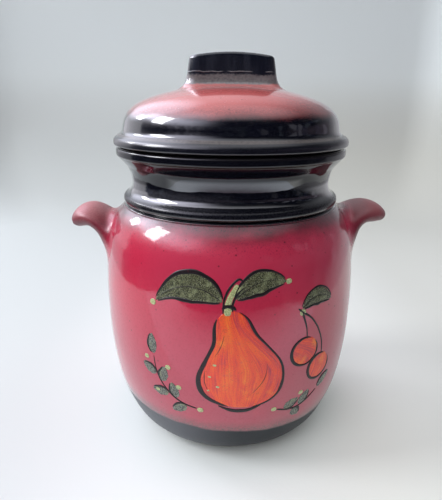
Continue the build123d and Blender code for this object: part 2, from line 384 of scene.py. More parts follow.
def red_glaze(lug=False):
    g = Mat("red_lug_glaze" if lug else "red_barrel_glaze")
    r = g.math("SQRT", g.add(g.mul(g.x, g.x), g.mul(g.y, g.y)))
    big = g.noise(11, 3, 0.5)
    med = g.noise(70, 3, 0.6, g.shift((0.2, 0.5, 0.1)))
    fine = g.noise(640, 2, 0.6)
    grain = g.noise(1050, 1, 0.5, g.shift((0.11, 0.02, 0.4)))
    grit = g.noise(2600, 2, 0.65, g.shift((0.11, 0.02, 0.4)))
    grains = g.add(g.mul(grain, 0.55), g.mul(grit, 0.45))
    crimson, rose, deep = (0.57, 0.016, 0.056), (0.385, 0.036, 0.073), (0.36, 0.006, 0.030)
    low = g.math("ADD", g.mul(g.step(g.z, 0.165, 0.055), 0.75), g.mul(g.sub(big, 0.5), 0.9), clamp=True)
    col = g.mix(low, crimson, rose)
    col = g.mix(g.mul(g.step(fine, 0.45, 0.75), 0.35), col, deep)
    col = g.mix(g.mul(g.step(med, 0.52, 0.8), 0.25), col, (0.62, 0.034, 0.075))
    # painted sheen: the upper shoulder, all but its far left, is painted a duller pink for the soft reflection of the
    # bright room above
    painted_sheen = g.mul(g.step(g.z, 0.128, 0.160), g.step(g.x, -0.078, -0.040))
    col = g.mix(g.mul(painted_sheen, 0.8), col, (0.52, 0.036, 0.082))
    # painted shade: the right side of the barrel, away from the light, is painted darker and duller
    col = g.mix(g.mul(g.step(g.x, 0.020, 0.075), 0.5), col, (0.40, 0.050, 0.092))
    # painted shade: the wall round and just under the left lug's root is painted darker
    col = g.mix(g.mul(g.mul(g.step(g.x, -0.068, -0.088), g.step(g.z, 0.132, 0.155)), 0.4), col, (0.36, 0.028, 0.068))
    # iron specks in the clay, showing through
    d, pick = g.cells(190)
    speck = g.mul(g.step(d, 0.16, 0.07), g.step(pick, 0.72, 0.75))
    d2, pick2 = g.cells(70, g.shift((0.3, 0.1, 0.9)))
    speck2 = g.mul(g.step(d2, 0.075, 0.04), g.step(pick2, 0.8, 0.83))
    col = g.mix(g.mul(g.math("MAXIMUM", speck, speck2), 0.75), col, (0.06, 0.008, 0.012))
    # dark overspray under the collar, thinning out into blue-black grains
    on_wall = g.step(r, 0.0990, 0.0940)
    ragged = g.add(g.z, g.mul(g.sub(med, 0.5), 0.010))
    mist = g.mul(g.step(ragged, 0.1480, 0.1860), g.step(r, 0.1015, 0.0960))
    far = g.spray(g.mul(mist, 0.38), grains, 2.6)
    col = g.mix(g.mul(g.mul(far, g.step(mist, 0.0, 0.5)), 0.62), col, (0.070, 0.006, 0.040))
    top = g.mul(g.step(ragged, 0.1745, 0.1895), on_wall)
    over = g.math("MULTIPLY", top, g.add(0.62, g.mul(g.step(grains, 0.34, 0.66), 0.52)), clamp=True)
    col = g.mix(over, col, (0.036, 0.021, 0.025))
    # black foot band with its mottled upper border
    slow = g.noise(24, 2, 0.5, g.shift((0.6, 0.1, 0.8), (1, 1, 0.2)))
    edge = g.add(g.add(g.z, g.mul(g.x, 0.055)), g.add(g.mul(g.sub(med, 0.5), 0.004), g.mul(g.sub(slow, 0.5), 0.004)))
    halo = g.step(edge, 0.0475, 0.0350)
    col = g.mix(g.math("MULTIPLY", halo, g.add(0.25, g.mul(g.step(grains, 0.34, 0.66), 0.80)), clamp=True), col, (0.075, 0.034, 0.034))
    band = g.step(edge, 0.0385, 0.0320)
    band_s = g.spray(band, grains, 1.2)
    black = g.mix(g.step(fine, 0.4, 0.7), (0.0045, 0.0065, 0.0115), (0.009, 0.012, 0.018))
    # painted sheen: the foot band is painted a lighter grey on the left, the side the light comes from
    black = g.mix(g.step(g.x, 0.010, -0.055), black, (0.092, 0.096, 0.110))
    col = g.mix(band_s, col, black)
    n2, n3 = glaze_bumps(g, 0.00010, 0.000022, 0.000006, 0.00005)
    n3 = g.bump(g.mul(g.noise(560, 1.0, 0.5, g.shift((0.21, 0.33, 0.08))), mist), 0.00004, normal=n3)
    # the hand-formed lugs are duller and more satin than the wall, and the foot band is drier
    near = g.math("SQRT", g.add(g.math("POWER", g.mul(g.y, 1 / 0.040), 2.0), g.math("POWER", g.mul(g.sub(g.z, 0.172), 1 / 0.029), 2.0)))
    lugs = g.mul(g.step(r, 0.0930, 0.1010), g.step(near, 1.0, 0.62))
    # painted shade and painted sheen: each lug's underside is painted dark maroon and its top a pale dusty pink, as
    # light from above would show them, and the right lug's top is painted darker, away from the light
    dark = g.mix(g.step(grain, 0.40, 0.62), (0.085, 0.008, 0.016), (0.150, 0.018, 0.030))
    pale = g.mix(g.step(grain, 0.40, 0.62), (0.42, 0.145, 0.155), (0.55, 0.220, 0.225))
    pale = g.mix(g.step(g.x, -0.02, 0.02), pale, (0.30, 0.095, 0.100))
    smoke = g.mul(g.mul(g.step(g.x, 0.093, 0.099), g.step(g.x, 0.119, 0.104)), g.step(g.z, 0.170, 0.182))
    pale = g.mix(g.mul(smoke, g.add(0.22, g.mul(g.step(grains, 0.36, 0.62), 0.5))), pale, (0.078, 0.054, 0.056))
    col = g.mix(g.mul(lugs, 0.88), col, g.mix(g.step(g.z, 0.173, 0.188), dark, pale))
    if lug:
        rough = g.add(g.mul(fine, 0.06), g.add(0.12, g.mul(lugs, 0.26)))
        g.set(Base_Color=col, Roughness=rough, IOR=1.62, Normal=n3)
        return g.m
    rough = g.add(g.add(g.mul(fine, 0.10), 0.30), g.mul(band_s, 0.12))
    dry = g.mul(g.mul(g.step(g.x, 0.030, 0.085), g.step(g.z, 0.150, 0.080)), 0.35)
    coat = g.sub(1.0, g.math("MAXIMUM", g.mul(band_s, 0.92), dry))
    g.set(Base_Color=col, Roughness=rough, IOR=1.38, Coat_Weight=coat, Coat_Roughness=0.04, Coat_IOR=1.62, Normal=n3, Coat_Normal=n3)
    return g.m


def black_glaze():
    g = Mat("mirror_black_glaze")
    fine = g.noise(700, 2, 0.6)
    med = g.noise(60, 3, 0.6)
    col = g.mix(g.step(fine, 0.4, 0.7), (0.0030, 0.0034, 0.0065), (0.0075, 0.0075, 0.0115))
    # the glaze breaks brown where it runs thin over the edges
    lip = g.mul(g.step(g.z, 0.2300, 0.2318), 0.15)
    low = g.mul(g.step(g.z, 0.2275, 0.2262), g.step(g.z, 0.2248, 0.2258))
    bead = g.mul(g.step(g.z, 0.1905, 0.1916), g.step(g.z, 0.1930, 0.1920))
    edge = g.math("MAXIMUM", g.math("MAXIMUM", lip, low), bead)
    col = g.mix(g.mul(edge, g.add(g.mul(med, 0.5), 0.2)), col, (0.060, 0.034, 0.020))
    # painted sheen: low on the waist's left, the side the light comes from, the black is painted a silvery grey
    blur = g.noise(150, 2, 0.6, g.shift((0.4, 0.1, 0.6)))
    haze = g.mul(g.mul(g.step(g.x, 0.012, -0.055), g.step(g.add(g.z, g.mul(g.sub(blur, 0.5), 0.003)), 0.2085, 0.2050)), g.step(g.z, 0.1965, 0.1990))
    col = g.mix(g.mul(haze, g.add(0.45, g.mul(g.step(fine, 0.35, 0.65), 0.55))), col, (0.046, 0.046, 0.056))
    n2, n3 = glaze_bumps(g, 0.00016, 0.000009, 0.000003, 0.00007)
    # the rims were wiped while turning, which leaves fine rings and a silvery sheen
    rims = g.math("MAXIMUM", g.mul(g.step(g.z, 0.2250, 0.2280), 0.35), g.mul(g.step(g.z, 0.2000, 0.1965), g.step(g.z, 0.1915, 0.1935)))
    rings = g.noise(1.0, 2, 0.6, g.combine(g.mul(g.x, 9.0), g.mul(g.y, 9.0), g.mul(g.z, 1150.0)))
    n2 = g.bump(g.mul(rings, rims), 0.00007, normal=n2)
    rough = g.add(g.add(g.mul(fine, 0.05), 0.05), g.mul(rims, 0.20))
    flare = g.mul(g.step(g.z, 0.2140, 0.2175), g.step(g.z, 0.2330, 0.2315))
    across = g.math("ABSOLUTE", g.x)
    side = g.mul(g.mul(g.step(across, 0.038, 0.048), g.step(across, 0.076, 0.071)), g.step(g.z, 0.2075, 0.2100))
    coat = g.sub(1.0, g.math("MAXIMUM", g.mul(rims, 0.92), g.mul(g.math("MAXIMUM", flare, side), 0.9)))
    g.set(Base_Color=col, Roughness=rough, IOR=1.42, Normal=n2, Coat_Weight=coat, Coat_Roughness=0.035, Coat_IOR=2.00, Coat_Normal=n2)
    return g.m


def lid_glaze():
    g = Mat("lid_rose_and_black_glaze")
    big = g.noise(13, 3, 0.5)
    med = g.noise(75, 3, 0.6, g.shift((0.2, 0.5, 0.1)))
    fine = g.noise(560, 2, 0.6)
    grain = g.noise(1050, 1, 0.5, g.shift((0.11, 0.02, 0.4)))
    grit = g.noise(2600, 2, 0.65, g.shift((0.11, 0.02, 0.4)))
    grains = g.add(g.mul(grain, 0.45), g.mul(grit, 0.55))
    pink, rose = (0.67, 0.132, 0.126), (0.57, 0.086, 0.090)
    top = g.step(g.z, 0.2695, 0.2755)
    col = g.mix(g.math("ADD", g.mul(top, 0.4), g.mul(g.sub(big, 0.45), 0.9), clamp=True), pink, rose)
    col = g.mix(g.mul(g.step(fine, 0.45, 0.75), 0.14), col, (0.42, 0.06, 0.07))
    d, pick = g.cells(230)
    speck = g.mul(g.step(d, 0.2, 0.08), g.step(pick, 0.7, 0.73))
    col = g.mix(g.mul(speck, 0.6), col, (0.07, 0.02, 0.02))
    wavy = g.noise(34, 2, 0.5, g.shift((0.7, 0.3, 0.2), (1, 1, 0.3)))
    edge = g.add(g.z, g.add(g.mul(g.sub(med, 0.5), 0.0030), g.mul(g.sub(wavy, 0.5), 0.0035)))
    dark = g.step(edge, 0.2618, 0.2505)
    band = g.spray(dark, grains, 1.0)
    haze = g.math("MULTIPLY", g.step(edge, 0.2690, 0.2560), g.add(0.45, g.mul(g.step(grains, 0.36, 0.64), 0.50)), clamp=True)
    col = g.mix(haze, col, (0.125, 0.034, 0.040))
    # painted shade: the dome's right side, just above the black band, is painted a darker maroon, away from the light
    painted_shade_right = g.mul(g.mul(g.step(g.x, 0.012, 0.062), g.step(edge, 0.2725, 0.2610)), g.add(0.40, g.mul(g.step(grains, 0.36, 0.64), 0.35)))
    col = g.mix(painted_shade_right, col, (0.145, 0.050, 0.052))
    col = g.mix(g.mul(g.step(g.z, 0.2732, 0.2756), 0.30), col, (0.28, 0.145, 0.140))
    black = g.mix(g.step(fine, 0.4, 0.7), (0.0030, 0.0032, 0.0075), (0.0075, 0.0075, 0.0125))
    thin = g.mul(g.step(g.z, 0.2352, 0.2342), 0.25)
    black = g.mix(g.mul(thin, med), black, (0.055, 0.033, 0.020))
    col = g.mix(band, col, black)
    # the rim, wiped while turning: fine rings, a silvery sheen and a taupe line where the bead begins
    rim = g.step(g.z, 0.2440, 0.2415)
    rings = g.noise(1.0, 2, 0.6, g.combine(g.mul(g.x, 9.0), g.mul(g.y, 9.0), g.mul(g.z, 1150.0)))
    line = g.mul(g.mul(g.step(g.z, 0.2405, 0.2412), g.step(g.z, 0.2432, 0.2422)), g.add(g.mul(fine, 0.6), 0.25))
    col = g.mix(line, col, (0.135, 0.110, 0.098))
    n2, n3 = glaze_bumps(g, 0.00012, 0.000012, 0.000003, 0.00005)
    n2 = g.bump(g.mul(rings, rim), 0.00008, normal=n2)
    body = g.mul(band, g.sub(1.0, rim))
    rough = g.add(g.sub(g.add(g.mul(fine, 0.08), 0.22), g.mul(body, 0.12)), g.mul(rim, 0.03))
    g.set(Base_Color=col, Roughness=rough, IOR=1.6,
          Coat_Weight=g.sub(1.0, g.mul(rim, 0.55)), Coat_Roughness=0.05, Coat_IOR=1.62, Normal=n2, Coat_Normal=n2)
    return g.m


def knob_glaze():
    g = Mat("knob_black_over_taupe_glaze")
    med = g.noise(75, 3, 0.6)
    fine = g.noise(560, 2, 0.6)
    grain = g.noise(1050, 1, 0.5)
    grit = g.noise(2600, 2, 0.65)
    grains = g.add(g.mul(grain, 0.45), g.mul(grit, 0.55))
    # runs of glaze down the sides
    runs = g.noise(1.0, 2, 0.5, g.combine(g.mul(g.x, 190.0), g.mul(g.y, 190.0), g.mul(g.z, 16.0)))
    black = g.mix(g.step(runs, 0.42, 0.66), (0.0040, 0.0060, 0.0140), (0.014, 0.018, 0.030))
    taupe = g.mix(g.step(fine, 0.35, 0.75), (0.190, 0.180, 0.186), (0.120, 0.112, 0.120))
    rose = (0.50, 0.13, 0.125)
    z = g.add(g.z, g.mul(g.sub(med, 0.5), 0.0035))
    up = g.spray(g.step(z, 0.2812, 0.2868), grains, 1.8)
    foot = g.spray(g.step(z, 0.2790, 0.2755), grains, 1.3)
    col = g.mix(up, taupe, black)
    # painted reflection: a thin, broken pale line painted round the knob's sides, standing in for a bright edge
    # mirrored in the glaze
    wave = g.add(g.z, g.mul(g.sub(g.noise(1.0, 2, 0.5, g.combine(g.mul(g.x, 120.0), g.mul(g.y, 120.0), 0.0)), 0.5), 0.0022))
    line = g.mul(g.mul(g.step(wave, 0.28560, 0.28590), g.step(wave, 0.28640, 0.28615)), g.step(g.noise(90, 1, 0.5), 0.40, 0.56))
    col = g.mix(g.mul(line, g.add(g.mul(fine, 0.6), 0.25)), col, (0.36, 0.36, 0.37))
    col = g.mix(foot, col, rose)
    n2, n3 = glaze_bumps(g, 0.00008, 0.000008, 0.000004)
    n2 = g.bump(line, 0.00010, normal=n2)
    g.set(Base_Color=col, Roughness=g.add(g.mul(fine, 0.06), 0.20), IOR=1.65, Normal=n2, Coat_Weight=1.0, Coat_Roughness=0.05, Coat_IOR=1.45, Coat_Normal=n2)
    return g.m


def liner_glaze():
    """The glaze inside the pot and under the lid."""
    g = Mat("honey_liner_glaze")
    big = g.noise(20, 3, 0.6)
    fine = g.noise(500, 3, 0.6)
    col = g.mix(big, (0.20, 0.105, 0.055), (0.30, 0.17, 0.095))
    d, pick = g.cells(240)
    col = g.mix(g.mul(g.mul(g.step(d, 0.25, 0.1), g.step(pick, 0.6, 0.65)), 0.6), col, (0.05, 0.022, 0.012))
    col = g.mix(g.mul(g.step(fine, 0.5, 0.75), 0.3), col, (0.13, 0.06, 0.03))
    n2, n3 = glaze_bumps(g, 0.00008, 0.000014, 0.000004)
    g.set(Base_Color=col, Roughness=g.add(g.mul(fine, 0.10), 0.10), IOR=1.55, Normal=n2)
    return g.m


def bare_clay():
    g = Mat("bare_fired_clay")
    big = g.noise(30, 4, 0.6)
    fine = g.noise(900, 4, 0.7)
    col = g.mix(big, (0.42, 0.29, 0.19), (0.33, 0.215, 0.135))
    col = g.mix(g.mul(g.step(fine, 0.45, 0.8), 0.5), col, (0.24, 0.15, 0.09))
    d, pick = g.cells(420)
    col = g.mix(g.mul(g.step(d, 0.3, 0.15), g.step(pick, 0.7, 0.75)), col, (0.10, 0.055, 0.03))
    r = g.math("SQRT", g.add(g.mul(g.x, g.x), g.mul(g.y, g.y)))
    # painted shade: the lid's seat and the top of its ring's outer face are painted near black, where they show in the
    # dark gap between lid and collar
    over = g.math("MAXIMUM", g.mul(g.step(g.z, 0.2310, 0.2318), g.step(r, 0.0790, 0.0805)), g.mul(g.step(g.z, 0.2270, 0.2300), g.step(r, 0.0758, 0.0764)))
    col = g.mix(over, col, (0.010, 0.009, 0.010))
    # faint turning lines
    ring = g.noise(1.0, 2, 0.6, g.combine(0.0, 0.0, g.mul(g.math("SQRT", g.add(g.mul(g.x, g.x), g.mul(g.y, g.y))), 900.0)))
    n = g.bump(ring, 0.00004)
    n = g.bump(fine, 0.00005, normal=n)
    g.set(Base_Color=col, Roughness=g.add(g.mul(fine, 0.15), 0.72), Normal=n)
    return g.m


RED, LUG, BLACK, LID, KNOB, LINER, CLAY = red_glaze(), red_glaze(True), black_glaze(), lid_glaze(), knob_glaze(), liner_glaze(), bare_clay()

# ------------------------------------------------------------------ the barrel

BARREL = [(67.4, 0.6), (70.5, 3.0), (75.0, 7.0), (80.4, 12.0), (84.9, 18.0), (88.7, 26.0), (93.3, 38.0), (96.4, 50.0), (98.9, 65.0), (100.7, 82.0),
          (101.6, 105.0), (101.3, 130.0), (99.9, 150.0), (97.6, 165.0), (93.8, 176.0), (88.9, 184.0), (84.9, 188.2)]
wall = spline(BARREL, 420)
slopes = np.gradient(wall, axis=0)
slopes /= np.hypot(*slopes.T)[:, None]
wall_out = np.c_[slopes[:, 1], -slopes[:, 0]]


def wall_r(z):
    return float(np.interp(z, wall[:, 1], wall[:, 0]))


def wall_n(z):
    """The wall's outward direction in the (r, z) plane at a height."""
    n = np.array([np.interp(z, wall[:, 1], wall_out[:, 0]), np.interp(z, wall[:, 1], wall_out[:, 1])])
    return n / np.hypot(*n)


def on_wall(phi, z, lift=0.0):
    """A point on the barrel: phi radians from the front toward +X, height z, and mm proud of the surface."""
    r, n = wall_r(z), wall_n(z)
    r, z = r + n[0] * lift, z + n[1] * lift
    return np.array((r * math.sin(phi), -r * math.cos(phi), z))


inner = []
for q, n in zip(wall, wall_out):
    if 18.0 <= q[1] <= 184.0:
        inner.append(q - n * 6.0)
inner = np.array(inner)
inner = path(inner, [(76.3, 190.0)])[::-1]
inner = path(inner, spline([inner[-1], (77.6, 17.4), (72.6, 12.6), (66.0, 10.5), (59.0, 10.0)], 40), [(0.0, 10.0)])
ring = arc((84.2, 188.35), (84.55, 188.8), (84.1, 189.3), 8)
outer = path([(0.0, 3.0), (56.5, 3.0), (58.0, 1.5), (58.0, 0.0), (66.2, 0.0), (67.0, 0.2)], wall, ring, [(83.4, 189.7), (81.9, 190.0), (76.3, 190.0)])
body_prof = soften(path(outer, inner), closed=False, radius=0.22, keep=3.0)


def body_band(r, z, _):
    if z < 0.55 or (z < 3.4 and r < 59.0):
        return 1
    if z > 9.0 and r < wall_r(z) - 3.0 and z < 189.6:
        return 2
    if z > 189.2:
        return 3
    return 0


body = lathe("crock_body", body_prof, [RED, CLAY, LINER, BLACK], body_band, closed=False)
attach(body, "pot")
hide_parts("pot_body")

# ------------------------------------------------------------------ the collar

collar_prof = path(
    [(76.3, 190.0), (81.9, 190.0), (82.3, 190.5)],
    spline([(82.3, 190.5), (83.0, 190.7), (84.0, 191.6), (84.6, 193.7), (84.1, 195.8), (82.9, 197.0)], 24),
    spline([(82.9, 197.0), (80.2, 199.2), (78.5, 201.8), (77.9, 205.6), (78.2, 209.7), (79.1, 213.6), (80.0, 216.5), (81.2, 218.9), (82.7, 220.7), (84.7, 222.9), (86.9, 225.3)], 60),
    arc((87.3, 225.9), (88.4, 226.8), (88.8, 228.2), 8),
    arc((88.8, 230.6), (88.2, 231.9), (86.9, 232.5), 8),
    arc((82.2, 232.5), (81.1, 231.9), (80.6, 230.8), 8),
    [(80.1, 226.8)],
    spline([(80.1, 226.8), (78.6, 222.5), (76.6, 219.2), (74.6, 215.2), (73.2, 211.0), (72.3, 206.0), (72.6, 200.8), (74.2, 195.6), (76.3, 190.0)], 50),
)
collar_prof = soften(collar_prof[:-1], closed=True, radius=0.16, keep=2.5)
collar = lathe("crock_collar", collar_prof, [BLACK, LINER], lambda r, z, _: 1 if (z < 226 and r < 79.5 and r < np.interp(z, [190, 206, 226], [78.5, 75.2, 81.5])) else 0)
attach(collar, "pot")
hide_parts("neck_collar")

# ------------------------------------------------------------------ the lid

DOME = [(85.3, 242.2), (83.6, 244.6), (82.9, 247.6), (82.3, 250.6), (80.9, 254.6), (78.1, 258.6), (73.2, 262.6), (64.9, 266.7), (54.0, 270.3), (43.0, 273.0), (30.0, 275.0), (17.0, 275.8), (6.0, 276.0)]
dome = spline([(90.2, 235.7), (90.15, 237.4), (89.2, 239.5), (87.2, 241.1)] + DOME, 200)
dome_line = dome[dome[:, 1].argsort(kind="stable")]


def dome_z(r):
    top = dome[60:]
    return float(np.interp(r, top[::-1, 0], top[::-1, 1]))


def dome_n(r):
    a, b = dome_z(r - 0.6), dome_z(r + 0.6)
    n = np.array([-(b - a) / 1.2, 1.0])
    return n / np.hypot(*n)


HOLLOW = [(6.0, 270.2), (18.0, 269.9), (30.0, 269.1), (42.0, 267.4), (53.0, 264.7), (63.0, 261.2), (70.0, 257.6), (74.2, 253.8), (75.9, 249.6), (76.0, 244.6), (74.6, 239.4), (72.4, 235.0), (71.0, 232.5)]
hollow = spline(HOLLOW, 80)
lid_prof = path(
    [(0.0, 276.0)], dome[::-1],
    arc((90.2, 235.7), (89.8, 234.6), (88.7, 234.2), 8),
    [(86.5, 234.2), (86.0, 233.8), (85.7, 233.0), (85.2, 232.5), (71.0, 232.5)],
    hollow[::-1], [(0.0, 270.2)],
)
lid_prof = soften(lid_prof, closed=False, radius=0.2, keep=2.5)


def lid_band(r, z, _):
    if z < 233.0 and r < 85.6:
        return 1
    if r < 80 and z < 271 and z < dome_z(min(r, 80.0)) - 3.0 and (r < 77):
        return 2
    return 0


lid = lathe("lid_shell", lid_prof, [LID, CLAY, LINER], lid_band, closed=False)
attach(lid, "lid")
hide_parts("lid_dome")

flange_prof = soften(np.array([(71.0, 232.5), (71.0, 223.6), (72.1, 222.5), (75.3, 222.5), (76.5, 223.7), (76.5, 232.5)]), closed=True, radius=0.2, keep=1.5)
flange = lathe("lid_locating_ring", flange_prof, [CLAY])
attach(flange, "lid")
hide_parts("lid_flange")

# ------------------------------------------------------------------ the knob

KNOB_AT = [(270, 88, 46, 17), (273, 80, 38.6, 13.5), (276, 73.6, 33, 10.5), (279, 69.6, 30, 8.8), (283, 67, 28.6, 7.8), (289, 65, 27.8, 7.2), (296, 62.6, 26.8, 6.6), (303, 60, 25.8, 6.2)]
kd = np.array([k[0] for k in KNOB_AT], float)
kp = np.array([k[1:] for k in KNOB_AT], float)


def rounded_rect(length, width, corner, m=26, n=9, c=12):
    """Points round a rounded rectangle, the same count on every size."""
    a, b, r = length / 2, width / 2, corner
    pts = []
    for (sx, sy, t0) in ((1, -1, -90), (1, 1, 0), (-1, 1, 90), (-1, -1, 180)):
        cx, cy = sx * (a - r), sy * (b - r)
        for i in range(c + 1):
            t = math.radians(t0 + 90 * i / c)
            pts.append((cx + r * math.cos(t), cy + r * math.sin(t)))
        nx = {(1, -1): (1, 1), (1, 1): (-1, 1), (-1, 1): (-1, -1), (-1, -1): (1, -1)}[(sx, sy)]
        ex, ey = nx[0] * (a - r), nx[1] * (b - r)
        t = math.radians(t0 + 90)
        p0 = np.array(pts[-1])
        p1 = np.array((ex + r * math.cos(t), ey + r * math.sin(t)))
        k = n if (sx, sy) in ((1, -1), (-1, 1)) else m
        for i in range(1, k):
            pts.append(tuple(p0 + (p1 - p0) * i / k))
    return np.array(pts)


def knob_ring(z):
    length, width, corner = spline_at(kd, kp, np.array([float(z)]))[0]
    return rounded_rect(length, width, corner)


def crown(x, y=0.0):
    return 300.0 - (165.0 - math.sqrt(165.0**2 - x * x)) - 0.0022 * y * y


m_knob = len(knob_ring(290))
zs = np.linspace(268, 300, 321)
grid = np.array([knob_ring(z) for z in zs])  # level, point, xy
EDGE = 2.4
foot_up, foot_out = 3.6, 4.6
knob_loops = [[] for _ in range(13 + 22 + 7)]
rim_normals = []
for j in range(m_knob):
    line = np.c_[grid[:, j], zs]
    gap = line[:, 2] - np.array([dome_z(math.hypot(*q)) for q in line[:, :2]])
    i0 = int(np.argmax(gap > 0))
    f = gap[i0 - 1] / (gap[i0 - 1] - gap[i0])
    c0 = line[i0 - 1] + (line[i0] - line[i0 - 1]) * f
    p1 = np.array([np.interp(c0[2] + foot_up, line[:, 2], line[:, k]) for k in range(3)])
    t1 = np.array([np.interp(c0[2] + foot_up + 0.5, line[:, 2], line[:, k]) for k in range(3)]) - p1
    t1 /= np.linalg.norm(t1)
    centre = np.array((max(-20.0, min(20.0, c0[0])), 0.0))
    way = c0[:2] - centre
    way /= np.linalg.norm(way)
    r0 = math.hypot(*c0[:2])
    q2 = c0[:2] + way * foot_out
    r2 = math.hypot(*q2)
    p2 = np.array((*q2, dome_z(r2)))
    n2 = dome_n(r2)
    nrm = np.array((n2[0] * q2[0] / r2, n2[0] * q2[1] / r2, n2[1]))
    nrm /= np.linalg.norm(nrm)
    t2 = c0 - p2
    t2 -= nrm * (t2 @ nrm)
    t2 /= np.linalg.norm(t2)
    rim_normals.append(nrm)
    # a lip hidden under the dome's surface closes the knob below
    knob_loops[0].append(p2 - nrm * 0.8 + t2 * 1.0)
    a, b = p2 + t2 * foot_out * 0.62, p1 - t1 * foot_up * 0.62
    for i in range(12):
        s = i / 11
        knob_loops[1 + i].append((1 - s) ** 3 * p2 + 3 * s * (1 - s) ** 2 * a + 3 * s * s * (1 - s) * b + s**3 * p1)
    # side, then the rounded upper edge
    top_z = crown(*line[-40, :2]) - EDGE
    for _ in range(3):
        q = [np.interp(top_z, line[:, 2], line[:, k]) for k in range(2)]
        top_z = crown(*q) - EDGE
    for i in range(1, 23):
        z = p1[2] + (top_z - p1[2]) * i / 22
        knob_loops[12 + i].append(np.array([np.interp(z, line[:, 2], line[:, k]) for k in range(2)] + [z]))
for k in range(1, 8):
    t = math.radians(90 * k / 7)
    inset, rise = EDGE * (1 - math.cos(t)), EDGE * math.sin(t)
    base = np.array(knob_loops[34])
    length, width, corner = spline_at(kd, kp, np.array([297.0]))[0]
    full = rounded_rect(length, width, corner)
    small = rounded_rect(length - 2 * inset, width - 2 * inset, corner - inset)
    move = small - full
    for j in range(m_knob):
        x, y = base[j, :2] + move[j]
        knob_loops[34 + k].append(np.array((x, y, crown(base[j, 0] + move[j, 0], base[j, 1] + move[j, 1]) - EDGE + rise)))
last = np.array(knob_loops[-1])
for s in (0.94, 0.86, 0.76, 0.64, 0.5, 0.36, 0.22, 0.1):
    ring_s = []
    for j in range(m_knob):
        x, y = last[j, 0] * s, last[j, 1] * s
        ring_s.append(np.array((x, y, crown(x, y))))
    knob_loops.append(ring_s)
first = np.array(knob_loops[0])
under = []
for s in (0.75, 0.45, 0.15):
    ring_s = []
    for j in range(m_knob):
        x, y = first[j, 0] * s, first[j, 1] * s
        ring_s.append(np.array((x, y, dome_z(max(math.hypot(x, y), 0.7)) - 0.8)))
    under.insert(0, ring_s)
knob = tube("lid_knob_bar", under + knob_loops, [KNOB], pole_a=(0, 0, dome_z(6) - 0.8), pole_b=(0, 0, crown(0)))
base_i = (len(under) + 1) * m_knob
picked = {}
for j in range(m_knob):
    def want(poly, n=rim_normals[j], lo=base_i):
        return n if min(poly.vertices) >= lo else None
    picked[base_i + j] = want
match_normals(knob, picked)
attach(knob, "lid")
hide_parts("lid_knob")

# ------------------------------------------------------------------ the lugs

LEFT_HORN = [(86, 159.6, 36, 34, 20.5), (94.2, 165.8, 38, 30, 14.2), (99.8, 170.3, 38, 27, 9.9), (104.6, 174, 33, 25.2, 8.5), (109, 176.6, 21, 23.9, 8.4), (113.2, 177.6, 2, 22.4, 8.6),
             (117, 176.9, -19, 20.4, 8.5), (120.4, 175.1, -32, 17.8, 7.7), (123.2, 173.1, -38, 14.6, 6.4), (125.3, 171.4, -40, 10.8, 4.6), (126.6, 170.3, -40, 6, 2.4)]
RIGHT_HORN = [(85.6, 160.6, 49, 34, 19), (93, 168.6, 47, 30, 13.8), (98, 174, 41, 27, 10.6), (102.3, 177.3, 30, 25.2, 9.2), (106.4, 179.2, 17, 23.9, 8.7), (110.8, 180, 3, 22.4, 8.7),
              (115.2, 179.8, -8, 20.4, 8.4), (119.4, 178.8, -18, 17.8, 7.6), (122.9, 177.4, -28, 14.6, 6.2), (125.4, 175.9, -35, 10.8, 4.4), (126.75, 174.9, -38, 6, 2.3)]


